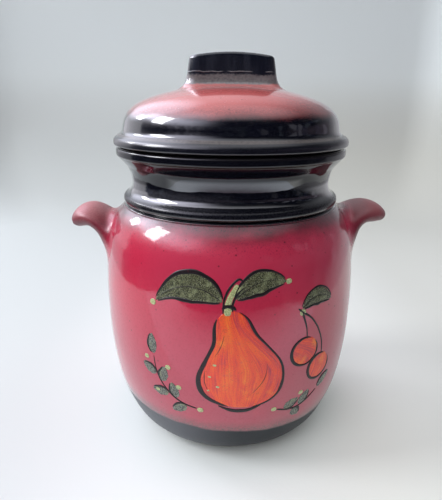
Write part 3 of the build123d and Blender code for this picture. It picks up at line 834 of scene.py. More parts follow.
def lug(name, horn, side, node):
    st = np.array(horn, float)
    d = np.r_[0, np.cumsum(np.hypot(np.diff(st[:, 0]), np.diff(st[:, 1])))]
    t = np.linspace(0, d[-1], 150)
    s = spline_at(d, st, t)
    m = 112
    th = np.arange(m) * 2 * math.pi / m
    e = 2 / 2.12
    cy = np.sign(np.cos(th)) * np.abs(np.cos(th)) ** e
    cz = np.sign(np.sin(th)) * np.abs(np.sin(th)) ** e
    rings = []
    for dist, z, slope, hw, ht in s:
        a = math.radians(slope)
        x = dist - math.sin(a) * cz * ht
        rings.append(np.c_[side * x, cy * hw * side, z + math.cos(a) * cz * ht])
    rings = np.array(rings)
    # rounded nose past the last section
    a = math.radians(st[-1, 2])
    mid = rings[-1].mean(0)
    fwd = np.array((side * math.cos(a), 0, math.sin(a)))
    nose = []
    for k in range(1, 7):
        q = math.radians(84 * k / 6)
        nose.append(mid + (rings[-1] - mid) * math.cos(q) + fwd * 1.55 * math.sin(q))
    tip = mid + fwd * 1.6
    off = lambda p: math.hypot(p[0], p[1]) - wall_r(min(p[2], 188.1))
    up, out = 8.0, 8.5
    loops_fillet = [[] for _ in range(16)]
    normals = []
    start = []
    cuts = []
    for j in range(m):
        line = rings[:, j]
        g = np.array([off(p) for p in line])
        i0 = int(np.argmax(g > 0))
        f = g[i0 - 1] / (g[i0 - 1] - g[i0])
        cuts.append(line[i0 - 1] + (line[i0] - line[i0 - 1]) * f)
        start.append(i0 - 1 + f)
    cuts = np.array(cuts)
    phi_c = np.array([math.atan2(c[0], -c[1]) for c in cuts])
    phi_m = side * math.pi / 2
    z_m = cuts[:, 2].mean()
    side_pts = []
    for j in range(m):
        c0 = cuts[j]
        line = rings[:, j]
        run = np.r_[0, np.cumsum(np.linalg.norm(np.diff(line, axis=0), axis=1))]
        s0 = np.interp(start[j], np.arange(len(line)), run)
        # higher or lower on the root, the fillet has less room
        p1 = np.array([np.interp(s0 + up, run, line[:, k]) for k in range(3)])
        t1 = np.array([np.interp(s0 + up + 0.6, run, line[:, k]) for k in range(3)]) - p1
        t1 /= np.linalg.norm(t1)
        # away from the root over the wall's surface
        du = (phi_c[j] - phi_m) * wall_r(c0[2])
        dz = c0[2] - z_m
        w = np.array((du / 1.9, dz))
        w = w / np.hypot(*w)
        reach = out
        n0 = wall_n(c0[2])
        z2 = min(c0[2] + w[1] * reach * n0[0], 187.4)
        phi2 = phi_c[j] + w[0] * reach / wall_r(z2)
        p2 = on_wall(phi2, z2, 0.02)
        nn = wall_n(z2)
        nrm = np.array((nn[0] * math.sin(phi2), -nn[0] * math.cos(phi2), nn[1]))
        t2 = c0 - p2
        span = np.linalg.norm(t2)
        t2 = t2 - nrm * (t2 @ nrm)
        t2 /= np.linalg.norm(t2)
        normals.append(nrm)
        loops_fillet[0].append(p2 - nrm * 0.9 + t2 * 1.2)
        a2, b1 = p2 + t2 * span * 0.66, p1 - t1 * up * 0.60
        for i in range(15):
            u = i / 14
            loops_fillet[1 + i].append((1 - u) ** 3 * p2 + 3 * u * (1 - u) ** 2 * a2 + 3 * u * u * (1 - u) * b1 + u**3 * p1)
        side_pts.append((s0 + up, run, line))
    loops = []
    n_side = 64
    for i in range(1, n_side + 1):
        loop = []
        for s1, run, line in side_pts:
            q = s1 + (run[-1] - s1) * i / n_side
            loop.append([np.interp(q, run, line[:, k]) for k in range(3)])
        loops.append(np.array(loop))
    first = np.array(loops_fillet[0])
    phi_f = np.array([math.atan2(c[0], -c[1]) for c in first])
    phi_f = np.where(side * phi_f < -0.5, phi_f + side * 2 * math.pi, phi_f)
    under = []
    for sc in (0.66, 0.33):
        under.insert(0, [on_wall(phi_m + (pf - phi_m) * sc, z_m + (q[2] - z_m) * sc, -0.9) for pf, q in zip(phi_f, first)])
    ob = tube(name, under + loops_fillet + loops + nose, [LUG], pole_a=on_wall(phi_m, z_m, -0.9), pole_b=tip)
    lo = (len(under) + 1) * m
    picked = {}
    for j in range(m):
        def want(poly, n=normals[j], lo=lo):
            return n if min(poly.vertices) >= lo else None
        picked[lo + j] = want
    match_normals(ob, picked)
    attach(ob, "pot")
    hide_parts(node)
    return ob


lug("lug_left", LEFT_HORN, -1, "left_handle")
lug("lug_right", RIGHT_HORN, 1, "right_handle")

# ------------------------------------------------------------------ the painted fruit, a thin raised enamel on the wall


def fruit_enamel():
    """Orange-red brush strokes drawn down the fruit, with yellow and mauve showing between them."""
    g = Mat("orange_red_enamel")
    fine = g.noise(2300, 2, 0.65)
    grain = g.noise(1100, 2, 0.6)
    med = g.noise(120, 3, 0.6)
    mid = g.sub(0.0045, g.mul(g.step(g.z, 0.090, 0.138), 0.0105))
    half = g.add(g.mul(g.step(g.z, 0.130, 0.086), 0.0210), 0.0085)
    under = g.math("MULTIPLY", g.sub(0.088, g.z), 30.0, clamp=True)
    half = g.mul(half, g.math("SQRT", g.sub(1.02, g.mul(under, under))))
    across = g.math("DIVIDE", g.sub(g.x, mid), half)
    sway = g.mul(g.sub(g.noise(26, 2, 0.5), 0.5), 0.35)
    across = g.add(across, sway)
    hair = g.noise(1.0, 2, 0.6, g.combine(g.mul(across, 26.0), g.mul(g.z, 42.0), 0.0))
    wide = g.noise(1.0, 2, 0.5, g.combine(g.mul(across, 4.0), g.mul(g.z, 34.0), 4.0))
    ball = g.step(g.math("ABSOLUTE", g.add(across, 0.15)), 1.1, 0.1)
    mixv = g.math("ADD", g.add(g.add(g.mul(hair, 0.38), g.mul(wide, 0.42)), g.mul(grain, 0.18)), g.add(g.mul(ball, 0.10), -0.05), clamp=True)
    col = g.ramp(mixv, [(0.30, (0.34, 0.030, 0.060)), (0.40, (0.66, 0.045, 0.045)), (0.48, (0.86, 0.065, 0.022)), (0.57, (0.92, 0.13, 0.018)), (0.70, (0.94, 0.24, 0.020))])
    col = g.mix(g.mul(g.step(g.noise(55, 2, 0.6, g.shift((0.4, 0.2, 0.6))), 0.54, 0.68), 0.55), col, (0.97, 0.30, 0.020))
    col = g.mix(g.mul(g.step(grain, 0.52, 0.68), 0.50), col, (0.45, 0.028, 0.030))
    col = g.mix(g.mul(g.step(fine, 0.58, 0.72), 0.40), col, (0.98, 0.40, 0.06))
    col = g.mix(g.mul(g.step(med, 0.60, 0.75), 0.35), col, (0.50, 0.06, 0.10))
    n = g.bump(hair, 0.00005)
    n = g.bump(grain, 0.00003, normal=n)
    g.set(Base_Color=col, Roughness=g.add(g.mul(fine, 0.15), 0.34), IOR=1.45, Coat_Weight=0.40, Coat_Roughness=0.10, Coat_IOR=1.5, Normal=n)
    return g.m


def leaf_enamel():
    g = Mat("gritty_leaf_enamel")
    grit = g.noise(1150, 2, 0.7)
    grit2 = g.noise(2300, 1, 0.6)
    med = g.noise(150, 3, 0.6)
    olive = g.mix(g.step(grit, 0.42, 0.58), (0.016, 0.018, 0.009), (0.120, 0.125, 0.058))
    grey = g.mix(g.step(grit, 0.42, 0.58), (0.032, 0.034, 0.030), (0.200, 0.212, 0.180))
    col = g.mix(g.step(g.z, 0.128, 0.112), olive, grey)
    col = g.mix(g.mul(g.step(med, 0.52, 0.68), 0.60), col, (0.26, 0.29, 0.15))
    col = g.mix(g.mul(g.step(grit2, 0.60, 0.68), 0.7), col, (0.46, 0.48, 0.34))
    n = g.bump(grit, 0.00005)
    g.set(Base_Color=col, Roughness=g.add(g.mul(grit, 0.2), 0.36), IOR=1.45, Coat_Weight=0.30, Coat_Roughness=0.12, Coat_IOR=1.5, Normal=n)
    return g.m


def pale_enamel():
    g = Mat("pale_green_enamel")
    grit = g.noise(1500, 2, 0.7)
    med = g.noise(260, 3, 0.6)
    col = g.mix(g.step(grit, 0.35, 0.65), (0.26, 0.30, 0.11), (0.60, 0.63, 0.33))
    col = g.mix(g.mul(g.step(med, 0.5, 0.7), 0.5), col, (0.20, 0.25, 0.16))
    g.set(Base_Color=col, Roughness=g.add(g.mul(grit, 0.2), 0.30), IOR=1.45, Coat_Weight=0.35, Coat_Roughness=0.1, Coat_IOR=1.5, Normal=g.bump(grit, 0.00004))
    return g.m


def line_enamel():
    g = Mat("black_brush_line")
    grit = g.noise(1300, 2, 0.7)
    med = g.noise(220, 3, 0.6)
    col = g.mix(g.step(grit, 0.45, 0.68), (0.006, 0.004, 0.005), (0.022, 0.010, 0.012))
    col = g.mix(g.mul(g.step(med, 0.60, 0.76), 0.5), col, (0.09, 0.008, 0.016))
    g.set(Base_Color=col, Roughness=g.add(g.mul(grit, 0.15), 0.38), IOR=1.40, Coat_Weight=0.20, Coat_Roughness=0.10, Coat_IOR=1.5, Normal=g.bump(grit, 0.00003))
    return g.m


class Paint:
    """Collects closed islands of enamel on the wall. A point is (u, z) in mm: u is the way round from the front at a radius of 100."""

    def __init__(self):
        self.v, self.f = [], []

    def patch(self, spine, widths, lift=0.24, rows=64, cols=25, seed=1, wobble=0.05, vein=0.0, lean=0.0, rim=0.8):
        sp = spline(spine, rows + 1)
        wd = np.interp(np.linspace(0, 1, rows + 1), np.linspace(0, 1, len(widths)), widths)
        k = max(3, rows // (2 * len(widths)))
        ker = np.hanning(k * 2 + 1)
        wd = np.convolve(np.pad(wd, k, mode="edge"), ker / ker.sum(), "valid")
        tail = np.clip(np.minimum(np.arange(rows + 1), rows - np.arange(rows + 1)) / (rows * 0.10), 0, 1)
        ends = np.sqrt(np.clip(1 - (1 - tail) ** 2, 0, 1))
        rs = np.random.RandomState(seed)
        wob = [np.interp(np.linspace(0, 1, rows + 1), np.linspace(0, 1, 11), rs.uniform(-1, 1, 11)) * wobble for _ in range(2)]
        tan = np.gradient(sp, axis=0)
        tan /= np.hypot(*tan.T)[:, None]
        nor = np.c_[-tan[:, 1], tan[:, 0]]
        base = len(self.v)
        loops = []
        for i in range(1, rows):
            top, bottom = [], []
            for j in range(cols):
                s = -math.cos(math.pi * j / (cols - 1))
                w = wd[i] * ends[i] * (1 + (wob[0][i] if s < 0 else wob[1][i]))
                q = sp[i] + nor[i] * (s + lean * (1 - s * s)) * w
                e = min(1.0, (1 - abs(s)) * w / rim)
                e = e * e * (3 - 2 * e)
                h = -0.10 + (lift + 0.10) * e
                if vein:
                    h -= vein * math.exp(-((s * w / 0.45) ** 2)) * e
                top.append(on_wall(q[0] / 100.0, q[1], h))
                if 0 < j < cols - 1:
                    bottom.append(on_wall(q[0] / 100.0, q[1], -0.35))
            loops.append(top + bottom[::-1])
        m = len(loops[0])
        for l in loops:
            self.v += l
        for i in range(len(loops) - 1):
            for a in range(m):
                b = (a + 1) % m
                self.f.append((base + i * m + a, base + i * m + b, base + (i + 1) * m + b, base + (i + 1) * m + a))
        for end, i in ((0, 0), (rows, len(loops) - 1)):
            self.v.append(on_wall(sp[end][0] / 100.0, sp[end][1], -0.15))
            c = len(self.v) - 1
            for a in range(m):
                b = (a + 1) % m
                q = (base + i * m + a, base + i * m + b)
                self.f.append((c, q[1], q[0]) if end == 0 else (c, q[0], q[1]))

    def dot(self, u, z, r, lift=0.35, seed=1):
        self.patch([(u - r, z), (u - r * 0.5, z + 0.02), (u, z), (u + r * 0.5, z - 0.02), (u + r, z)], [r * 0.55, r * 0.92, r, r * 0.92, r * 0.55], lift, 26, 19, seed, 0.05, rim=0.7)

    def stroke(self, pts, widths, lift=0.36, seed=1, rows=70):
        self.patch(pts, widths, lift, rows, 9, seed, 0.16, rim=0.45)

    def done(self, name, material):
        ob = make_mesh(name, self.v, self.f, [material])
        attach(ob, "pot")
        return ob


PEAR = [(4.0, 60.0), (4.5, 71.0), (4.5, 84.0), (3.0, 98.0), (0.5, 112.0), (-2.5, 125.0), (-5.5, 136.0)]
PEAR_W = [14.0, 26.5, 29.5, 27.5, 21.0, 14.0, 11.0, 8.5]
CHERRY = [(51.0, 99.0, 10.8), (66.5, 82.0, 10.4)]
LEAF_A = [(-9.0, 142.0), (-20.0, 149.0), (-33.0, 151.0), (-46.0, 146.5), (-56.5, 137.5)]
LEAF_A_W = [1.5, 7.5, 10.0, 8.5, 4.0, 1.0]
LEAF_B = [(-1.0, 144.0), (9.0, 152.0), (21.0, 156.0), (34.0, 154.0)]
LEAF_B_W = [1.2, 5.5, 7.8, 5.4, 1.2]
LEAF_C = [(46.5, 132.5), (55.0, 138.5), (65.0, 139.0), (75.0, 133.5)]
LEAF_C_W = [1.0, 4.4, 6.2, 4.6, 1.0]
TWIG_W = [1.3, 3.6, 4.1, 2.9, 1.0]
TWIGS = [
    ([(-27.0, 57.0), (-39.0, 60.0), (-50.0, 68.0), (-57.5, 81.0), (-59.5, 95.0)], [(0.14, 1, 13.5), (0.30, -1, 13.0), (0.42, 1, 14.0), (0.60, -1, 13.0), (0.72, 1, 13.0)]),
    ([(32.0, 54.0), (45.0, 50.5), (58.0, 53.0), (69.0, 60.5)], [(0.14, 1, 13.5), (0.36, -1, 10.5), (0.50, 1, 13.5)]),
]

fruit = Paint()
fruit.patch(PEAR, PEAR_W, 0.26, 110, 49, 3, 0.03)
for i, (u, z, r) in enumerate(CHERRY):
    fruit.patch([(u - r, z), (u - r * 0.5, z + 0.3), (u, z + 0.4), (u + r * 0.5, z + 0.3), (u + r, z)], [r * 0.45, r * 0.86, r, r * 0.9, r * 0.5], 0.26, 48, 29, 5 + i, 0.04)
fruit.done("painted_fruit", fruit_enamel())

leaves = Paint()
leaves.patch(LEAF_A, LEAF_A_W, 0.24, 70, 27, 11, 0.06, vein=0.16)
leaves.patch(LEAF_B, LEAF_B_W, 0.24, 60, 27, 12, 0.06, vein=0.16)
leaves.patch(LEAF_C, LEAF_C_W, 0.24, 54, 25, 13, 0.06, vein=0.14)
twig_leaves = []
for t, (spine, side_leaves) in enumerate(TWIGS):
    run = spline(spine, 101)
    along = np.gradient(run, axis=0)
    along /= np.hypot(*along.T)[:, None]
    for k, (at, side, size) in enumerate(side_leaves + [(1.0, 0, 14.5)]):
        i = int(at * 100)
        q, d = run[i], along[i]
        nrm = np.array((-d[1], d[0])) * side
        way = d * 0.62 + nrm * 0.78 if side else d
        bend = d * 0.10
        pts = [q + way * 1.2, q + (way + bend * 0.3) * size * 0.36, q + (way + bend * 0.9) * size * 0.70, q + (way + bend * 1.8) * size]
        leaves.patch([tuple(v) for v in pts], TWIG_W, 0.24, 40, 19, 20 + 10 * t + k, 0.10)
        twig_leaves.append(([tuple(v) for v in pts], 20 + 10 * t + k))
leaves.done("painted_leaves", leaf_enamel())

pale = Paint()
pale.patch([(-5.6, 132.5), (-5.4, 139.5), (-3.0, 147.0), (1.8, 153.5)], [3.2, 2.4, 2.0, 3.0], 0.32, 40, 15, 21, 0.10)
for i, (u, z, r) in enumerate([(-58.5, 136.0, 2.3), (35.6, 154.0, 2.1), (47.0, 130.0, 2.5), (-40.5, 73.0, 2.1), (-58.5, 66.0, 1.9), (-48.0, 88.0, 2.1), (-66.0, 92.0, 1.9), (52.0, 63.5, 2.0), (-25.0, 56.0, 2.3), (30.0, 54.5, 2.1)]):
    pale.dot(u, z, r, 0.34, 30 + i)
for i, (u, z, r) in enumerate([(-14.0, 96.0, 1.3), (-17.5, 86.5, 1.2), (-12.0, 78.5, 1.3), (-18.5, 75.0, 1.1)]):
    pale.dot(u, z, r, 0.46, 50 + i)
pale.done("painted_pale_touches", pale_enamel())

lines = Paint()


def outline(spine, widths, lo, hi, side, grow, ws, seed, lift=0.36):
    """A brush line along part of a shape's edge: side -1 or 1, from share lo to hi of its length, grow mm outside it."""
    n = 80
    sp = spline(spine, n + 1)
    wd = np.interp(np.linspace(0, 1, n + 1), np.linspace(0, 1, len(widths)), widths)
    k = max(3, n // (2 * len(widths)))
    ker = np.hanning(k * 2 + 1)
    wd = np.convolve(np.pad(wd, k, mode="edge"), ker / ker.sum(), "valid")
    tail = np.clip(np.minimum(np.arange(n + 1), n - np.arange(n + 1)) / (n * 0.10), 0, 1)
    ends = np.sqrt(np.clip(1 - (1 - tail) ** 2, 0, 1))
    tan = np.gradient(sp, axis=0)
    tan /= np.hypot(*tan.T)[:, None]
    nor = np.c_[-tan[:, 1], tan[:, 0]]
    edge_pts = sp + nor * side * (wd * ends + grow)[:, None]
    a, b = int(lo * n), int(hi * n)
    pick = np.unique(np.linspace(a, b, 13).astype(int))
    lines.stroke([tuple(q) for q in edge_pts[pick]], ws, lift, seed)


outline(PEAR, PEAR_W, 0.02, 0.97, 1, 0.9, [1.0, 2.1, 2.3, 1.9, 1.2, 1.5, 0.8], 101)
outline(PEAR, PEAR_W, 0.02, 0.98, -1, 0.6, [1.0, 1.2, 1.3, 1.0, 0.9, 1.3, 0.6], 102)
lines.stroke([(-12.0, 62.0), (-4.0, 58.4), (4.0, 57.3), (12.0, 58.4), (19.5, 61.8)], [0.6, 1.5, 1.9, 1.4, 0.7], 0.36, 103)
lines.stroke([(-9.5, 137.2), (-7.0, 139.2), (-3.0, 139.0), (0.0, 136.6)], [0.7, 1.7, 1.7, 0.6], 0.36, 104, 30)
lines.stroke([(-8.6, 133.0), (-8.4, 141.0), (-6.0, 149.0), (-1.6, 155.2), (1.8, 157.6), (5.2, 153.4)], [0.6, 0.8, 0.9, 1.0, 1.0, 0.5], 0.38, 105)
lines.stroke([(-2.4, 135.0), (-2.4, 141.0), (0.2, 147.0), (5.0, 152.6)], [0.6, 0.9, 0.8, 0.5], 0.38, 106)
for k, (spine, widths) in enumerate([(LEAF_A, LEAF_A_W), (LEAF_B, LEAF_B_W), (LEAF_C, LEAF_C_W)]):
    big = [1.3, 1.1, 0.9][k]
    outline(spine, widths, 0.02, 0.98, 1, 0.3, [0.6 * big, 0.9 * big, 1.1 * big, 0.8 * big, 0.5 * big], 107 + 2 * k)
    outline(spine, widths, 0.02, 0.98, -1, 0.4, [0.6 * big, 1.2 * big, 1.4 * big, 1.0 * big, 0.5 * big], 108 + 2 * k)
    mid = spline(spine, 101)
    rise = np.gradient(mid, axis=0)
    rise /= np.hypot(*rise.T)[:, None]
    lines.stroke([tuple(q) for q in mid[[3, 25, 50, 75, 94]]], [0.55, 0.5, 0.45, 0.4, 0.3], 0.30, 113 + k)
    for j, at in enumerate((18, 34, 50, 66) if k < 2 else (26, 50, 70)):
        w = float(np.interp(at / 100, np.linspace(0, 1, len(widths)), widths))
        for side in (1, -1):
            nrm = np.array((-rise[at][1], rise[at][0])) * side
            pts = [mid[at], mid[at] + nrm * w * 0.34 + rise[at] * w * 0.30, mid[at] + nrm * w * 0.72 + rise[at] * w * 0.85]
            lines.stroke([tuple(q) for q in pts], [0.36, 0.34, 0.24], 0.30, 120 + 10 * k + 2 * j + (side > 0), 22)
for i, (u, z, r) in enumerate(CHERRY):
    t = np.radians(np.linspace(62, 405, 15))
    lines.stroke([(u + (r + 0.5) * math.cos(a), z + (r + 0.1) * math.sin(a)) for a in t], [0.6, 1.3, 1.6, 1.2, 0.9, 1.2, 0.5], 0.36, 160 + i)
lines.stroke([(52.0, 108.5), (51.5, 115.0), (49.5, 122.5), (46.5, 130.5)], [0.6, 0.7, 0.8, 1.2], 0.36, 168)
lines.stroke([(68.0, 91.5), (67.0, 102.0), (61.0, 116.0), (54.0, 125.0), (46.5, 130.5), (43.0, 133.5)], [0.6, 0.7, 0.8, 0.8, 1.0, 1.1], 0.36, 169)
for t, (spine, side_leaves) in enumerate(TWIGS):
    lines.stroke(spine, [0.9, 0.8, 0.7, 0.6, 0.5], 0.36, 172 + t)
for pts, seed in twig_leaves:
    lines.stroke(pts[:-1] + [tuple(np.array(pts[2]) * 0.25 + np.array(pts[3]) * 0.75)], [0.45, 0.35, 0.30, 0.2], 0.30, 180 + seed, 26)
    outline(pts, TWIG_W, 0.03, 0.97, 1 if seed % 2 else -1, 0.3, [0.5, 0.9, 1.1, 0.8, 0.4], 240 + seed, 0.33)
for i, pts in enumerate([
    [(9.0, 70.0), (15.5, 76.5), (21.0, 87.0), (21.5, 98.0)],
    [(-17.5, 72.0), (-21.0, 82.0), (-20.5, 92.0)],
    [(-7.5, 120.0), (-10.0, 110.0), (-15.0, 101.0)],
]):
    lines.stroke(pts, [0.3, 0.5, 0.55, 0.3], 0.40, 300 + i)
lines.done("painted_lines", line_enamel())

# ------------------------------------------------------------------ camera

ALPHA, PITCH, YAW, ROLL = math.radians(3.0), math.radians(18.035), math.radians(-1.058), math.radians(0.39)
DIST, HEIGHT = 374.98, 267.15
cam_data = bpy.data.cameras.new("photo_camera")
cam_data.sensor_fit = "VERTICAL"
cam_data.sensor_height = 36.0
cam_data.sensor_width = 36.0
cam_data.lens = 33.44
cam_data.clip_start = 0.01
cam_data.clip_end = 20.0
cam = bpy.data.objects.new("photo_camera", cam_data)
scene.collection.objects.link(cam)
fh, rv = Vector((0.03388, 0.99943, 0)), Vector((0.99943, -0.03388, 0))
F = Vector((fh.x * math.cos(PITCH), fh.y * math.cos(PITCH), -math.sin(PITCH)))
U = Vector((fh.x * math.sin(PITCH), fh.y * math.sin(PITCH), math.cos(PITCH)))
X = rv * math.cos(ROLL) + U * math.sin(ROLL)
Y = -rv * math.sin(ROLL) + U * math.cos(ROLL)
Z = -F
cam.matrix_world = Matrix((
    (X.x, Y.x, Z.x, -DIST * math.sin(ALPHA) * MM),
    (X.y, Y.y, Z.y, -DIST * math.cos(ALPHA) * MM),
    (X.z, Y.z, Z.z, HEIGHT * MM),
    (0, 0, 0, 1),
))
scene.camera = cam

# ------------------------------------------------------------------ stage and light


def cloth():
    g = Mat("pale_studio_sheet")
    soft = g.noise(2.2, 2, 0.5)
    weave = g.noise(260, 3, 0.6)
    col = g.mix(soft, (0.825, 0.865, 0.860), (0.855, 0.895, 0.885))
    # painted light and shade: the sheet is painted lighter and bluer where it rises behind the pot; on the floor it is
    # painted warmer and a little darker to the near right, where the pot's shadow falls, and darker towards the back,
    # the far left and the far right, where less light reaches it
    col = g.mix(g.step(g.z, 0.10, 0.45), col, (0.875, 0.935, 0.960))
    far = g.math("SQRT", g.add(g.mul(g.x, g.x), g.mul(g.y, g.y)))
    low = g.step(g.z, 0.34, 0.10)
    col = g.mix(g.mul(g.step(g.x, -0.02, 0.12), low), col, (0.815, 0.840, 0.800))
    col = g.mix(g.mul(g.step(far, 0.20, 0.60), low), col, (0.68, 0.705, 0.715))
    col = g.mix(g.mul(g.step(g.x, 0.00, -0.22), low), col, (0.63, 0.665, 0.665))
    col = g.mix(g.mul(g.step(g.x, 0.10, 0.30), low), col, (0.615, 0.625, 0.585))
    g.set(Base_Color=col, Roughness=g.add(g.mul(weave, 0.1), 0.8), Specular_IOR_Level=0.2, Normal=g.bump(weave, 0.00008))
    return g.one_sided()


CLOTH = cloth()


def stage_mesh(name, verts, faces, smooth=True, **seen):
    me = bpy.data.meshes.new(name)
    me.from_pydata([tuple(v) for v in verts], [], faces)
    me.polygons.foreach_set("use_smooth", [smooth] * len(me.polygons))
    me.materials.append(CLOTH)
    ob = bpy.data.objects.new(name, me)
    scene.collection.objects.link(ob)
    for k, v in seen.items():
        setattr(ob, k, v)
    return ob


def cove(name, a0, a1, n, z0=0.0, z1=1.5, **seen):
    """The sheet where it runs up round the pot, nearly flat behind it. Azimuth is from the front toward +X."""
    prof = [(0.74 + 0.30 * math.sin(t), 0.30 - 0.30 * math.cos(t)) for t in np.linspace(0, math.pi / 2, 14)]
    prof += [(1.045, 0.42), (1.05, 0.62), (1.06, 1.0), (1.07, 1.5)]
    prof = [q for q in prof if z0 <= q[1] <= z1 + 1e-6]
    verts, faces = [], []
    for i in range(n + 1):
        deg = a0 + (a1 - a0) * i / n
        a = math.radians(deg)
        off = abs((deg - 180 + 180) % 360 - 180)
        flat = min(0.95 / math.cos(math.radians(min(off, 60))), 1.11) / 1.05
        t = min(1.0, max(0.0, (off - 38) / 34))
        grow = flat + (1 - flat) * t * t * (3 - 2 * t)
        verts += [(r * grow * math.sin(a), -r * grow * math.cos(a), z - 0.0002) for r, z in prof]
    k = len(prof)
    for i in range(n):
        for j in range(k - 1):
            faces.append((i * k + j, i * k + j + 1, (i + 1) * k + j + 1, (i + 1) * k + j))
    return stage_mesh(name, verts, faces, **seen)


only_camera = dict(visible_diffuse=False, visible_glossy=False, visible_shadow=False, visible_transmission=False)
cove("sheet_behind", 147, 215, 40, 0.0, 0.62)
cove("sheet_behind_top", 147, 215, 40, 0.62, 1.5, **only_camera)
cove("sheet_around", -145, 147, 120, **only_camera)
n = 96
stage_mesh("sheet_outer_floor", [(0, 0, -0.0004)] + [(0.86 * math.cos(2 * math.pi * i / n), 0.86 * math.sin(2 * math.pi * i / n), -0.0003) for i in range(n)],
           [(0, 1 + i, 1 + (i + 1) % n) for i in range(n)], smooth=False, **only_camera)
CUT = -0.16
back = [(-0.538, CUT), (0.442, CUT), (0.45, -0.05), (0.52, 0.13), (0.60, 0.30), (0.58, 0.60), (0.28, 0.78), (0.0, 0.80), (-0.28, 0.78), (-0.52, 0.60), (-0.55, 0.32), (-0.54, 0.11)]
# two halves round a hole under the foot, which lets light reach the underside when it is looked at from below
hole = [(0.066 * math.sin(t), 0.066 * math.cos(t)) for t in np.linspace(0, math.pi, 49)]
right_half = [(0.0, CUT)] + back[1:8] + hole
left_half = back[7:] + [back[0], (0.0, CUT)] + [(-x, -y) for x, y in hole]
for name, half in (("sheet_floor_right", right_half), ("sheet_floor_left", left_half)):
    stage_mesh(name, [(x, y, 0.0) for x, y in half], [tuple(range(len(half)))], smooth=False)


def front_cloth():
    """The sheet in front of the pot, which only the glaze sees: its far part is painted dark, as painted shade for the
    dim room it runs out into.
    """
    g = Mat("pale_studio_sheet_front")
    out = g.mul(g.step(g.y, -0.20, -0.47), g.step(g.x, -0.42, -0.16))
    col = g.mix(out, (0.84, 0.90, 0.95), (0.20, 0.17, 0.20))
    g.set(Base_Color=col, Roughness=0.85, Specular_IOR_Level=0.2)
    return g.one_sided()


front = [(-0.538, CUT), (-0.535, -0.24), (-0.50, -0.34), (-0.40, -0.405), (-0.26, -0.42), (0.0, -0.49), (0.24, -0.46), (0.38, -0.36), (0.44, -0.20), (0.442, CUT)]
sheet_front = stage_mesh("sheet_floor_front", [(x, y, 0.0) for x, y in front], [tuple(range(len(front)))], smooth=False, visible_camera=False)
far_front = [(0.86 * math.sin(t), -0.86 * math.cos(t), 0.0003) for t in np.linspace(-1.383, 1.383, 49)]
stage_mesh("sheet_floor_far", far_front, [tuple(range(len(far_front)))], smooth=False, **only_camera)
sheet_front.data.materials.clear()
sheet_front.data.materials.append(front_cloth())


def panel(name, az, el, dist, width, height, watts, color=(1, 1, 1), target=(0, 0, 0.18), **seen):
    """A soft rectangular light. Azimuth from the front toward +X, elevation up."""
    d = bpy.data.lights.new(name, "AREA")
    d.shape, d.size, d.size_y, d.energy, d.color = "RECTANGLE", width, height, watts, color
    ob = bpy.data.objects.new(name, d)
    scene.collection.objects.link(ob)
    a, e = math.radians(az), math.radians(el)
    t = Vector(target)
    ob.location = t + Vector((math.sin(a) * math.cos(e), -math.cos(a) * math.cos(e), math.sin(e))) * dist
    ob.rotation_euler = (ob.location - t).to_track_quat("Z", "Y").to_euler()
    ob.visible_camera = False
    for k, v in seen.items():
        setattr(ob, k, v)
    return ob


panel("window_b", -86, 33, 6.0, 1.74, 2.40, 150, (0.97, 0.98, 1.0))
panel("window_a", -120, 25, 6.0, 1.05, 1.05, 45, (0.97, 0.98, 1.0))
panel("front_fill", -26, 38, 2.8, 3.2, 2.2, 53, (1.0, 0.99, 0.98), visible_glossy=False)


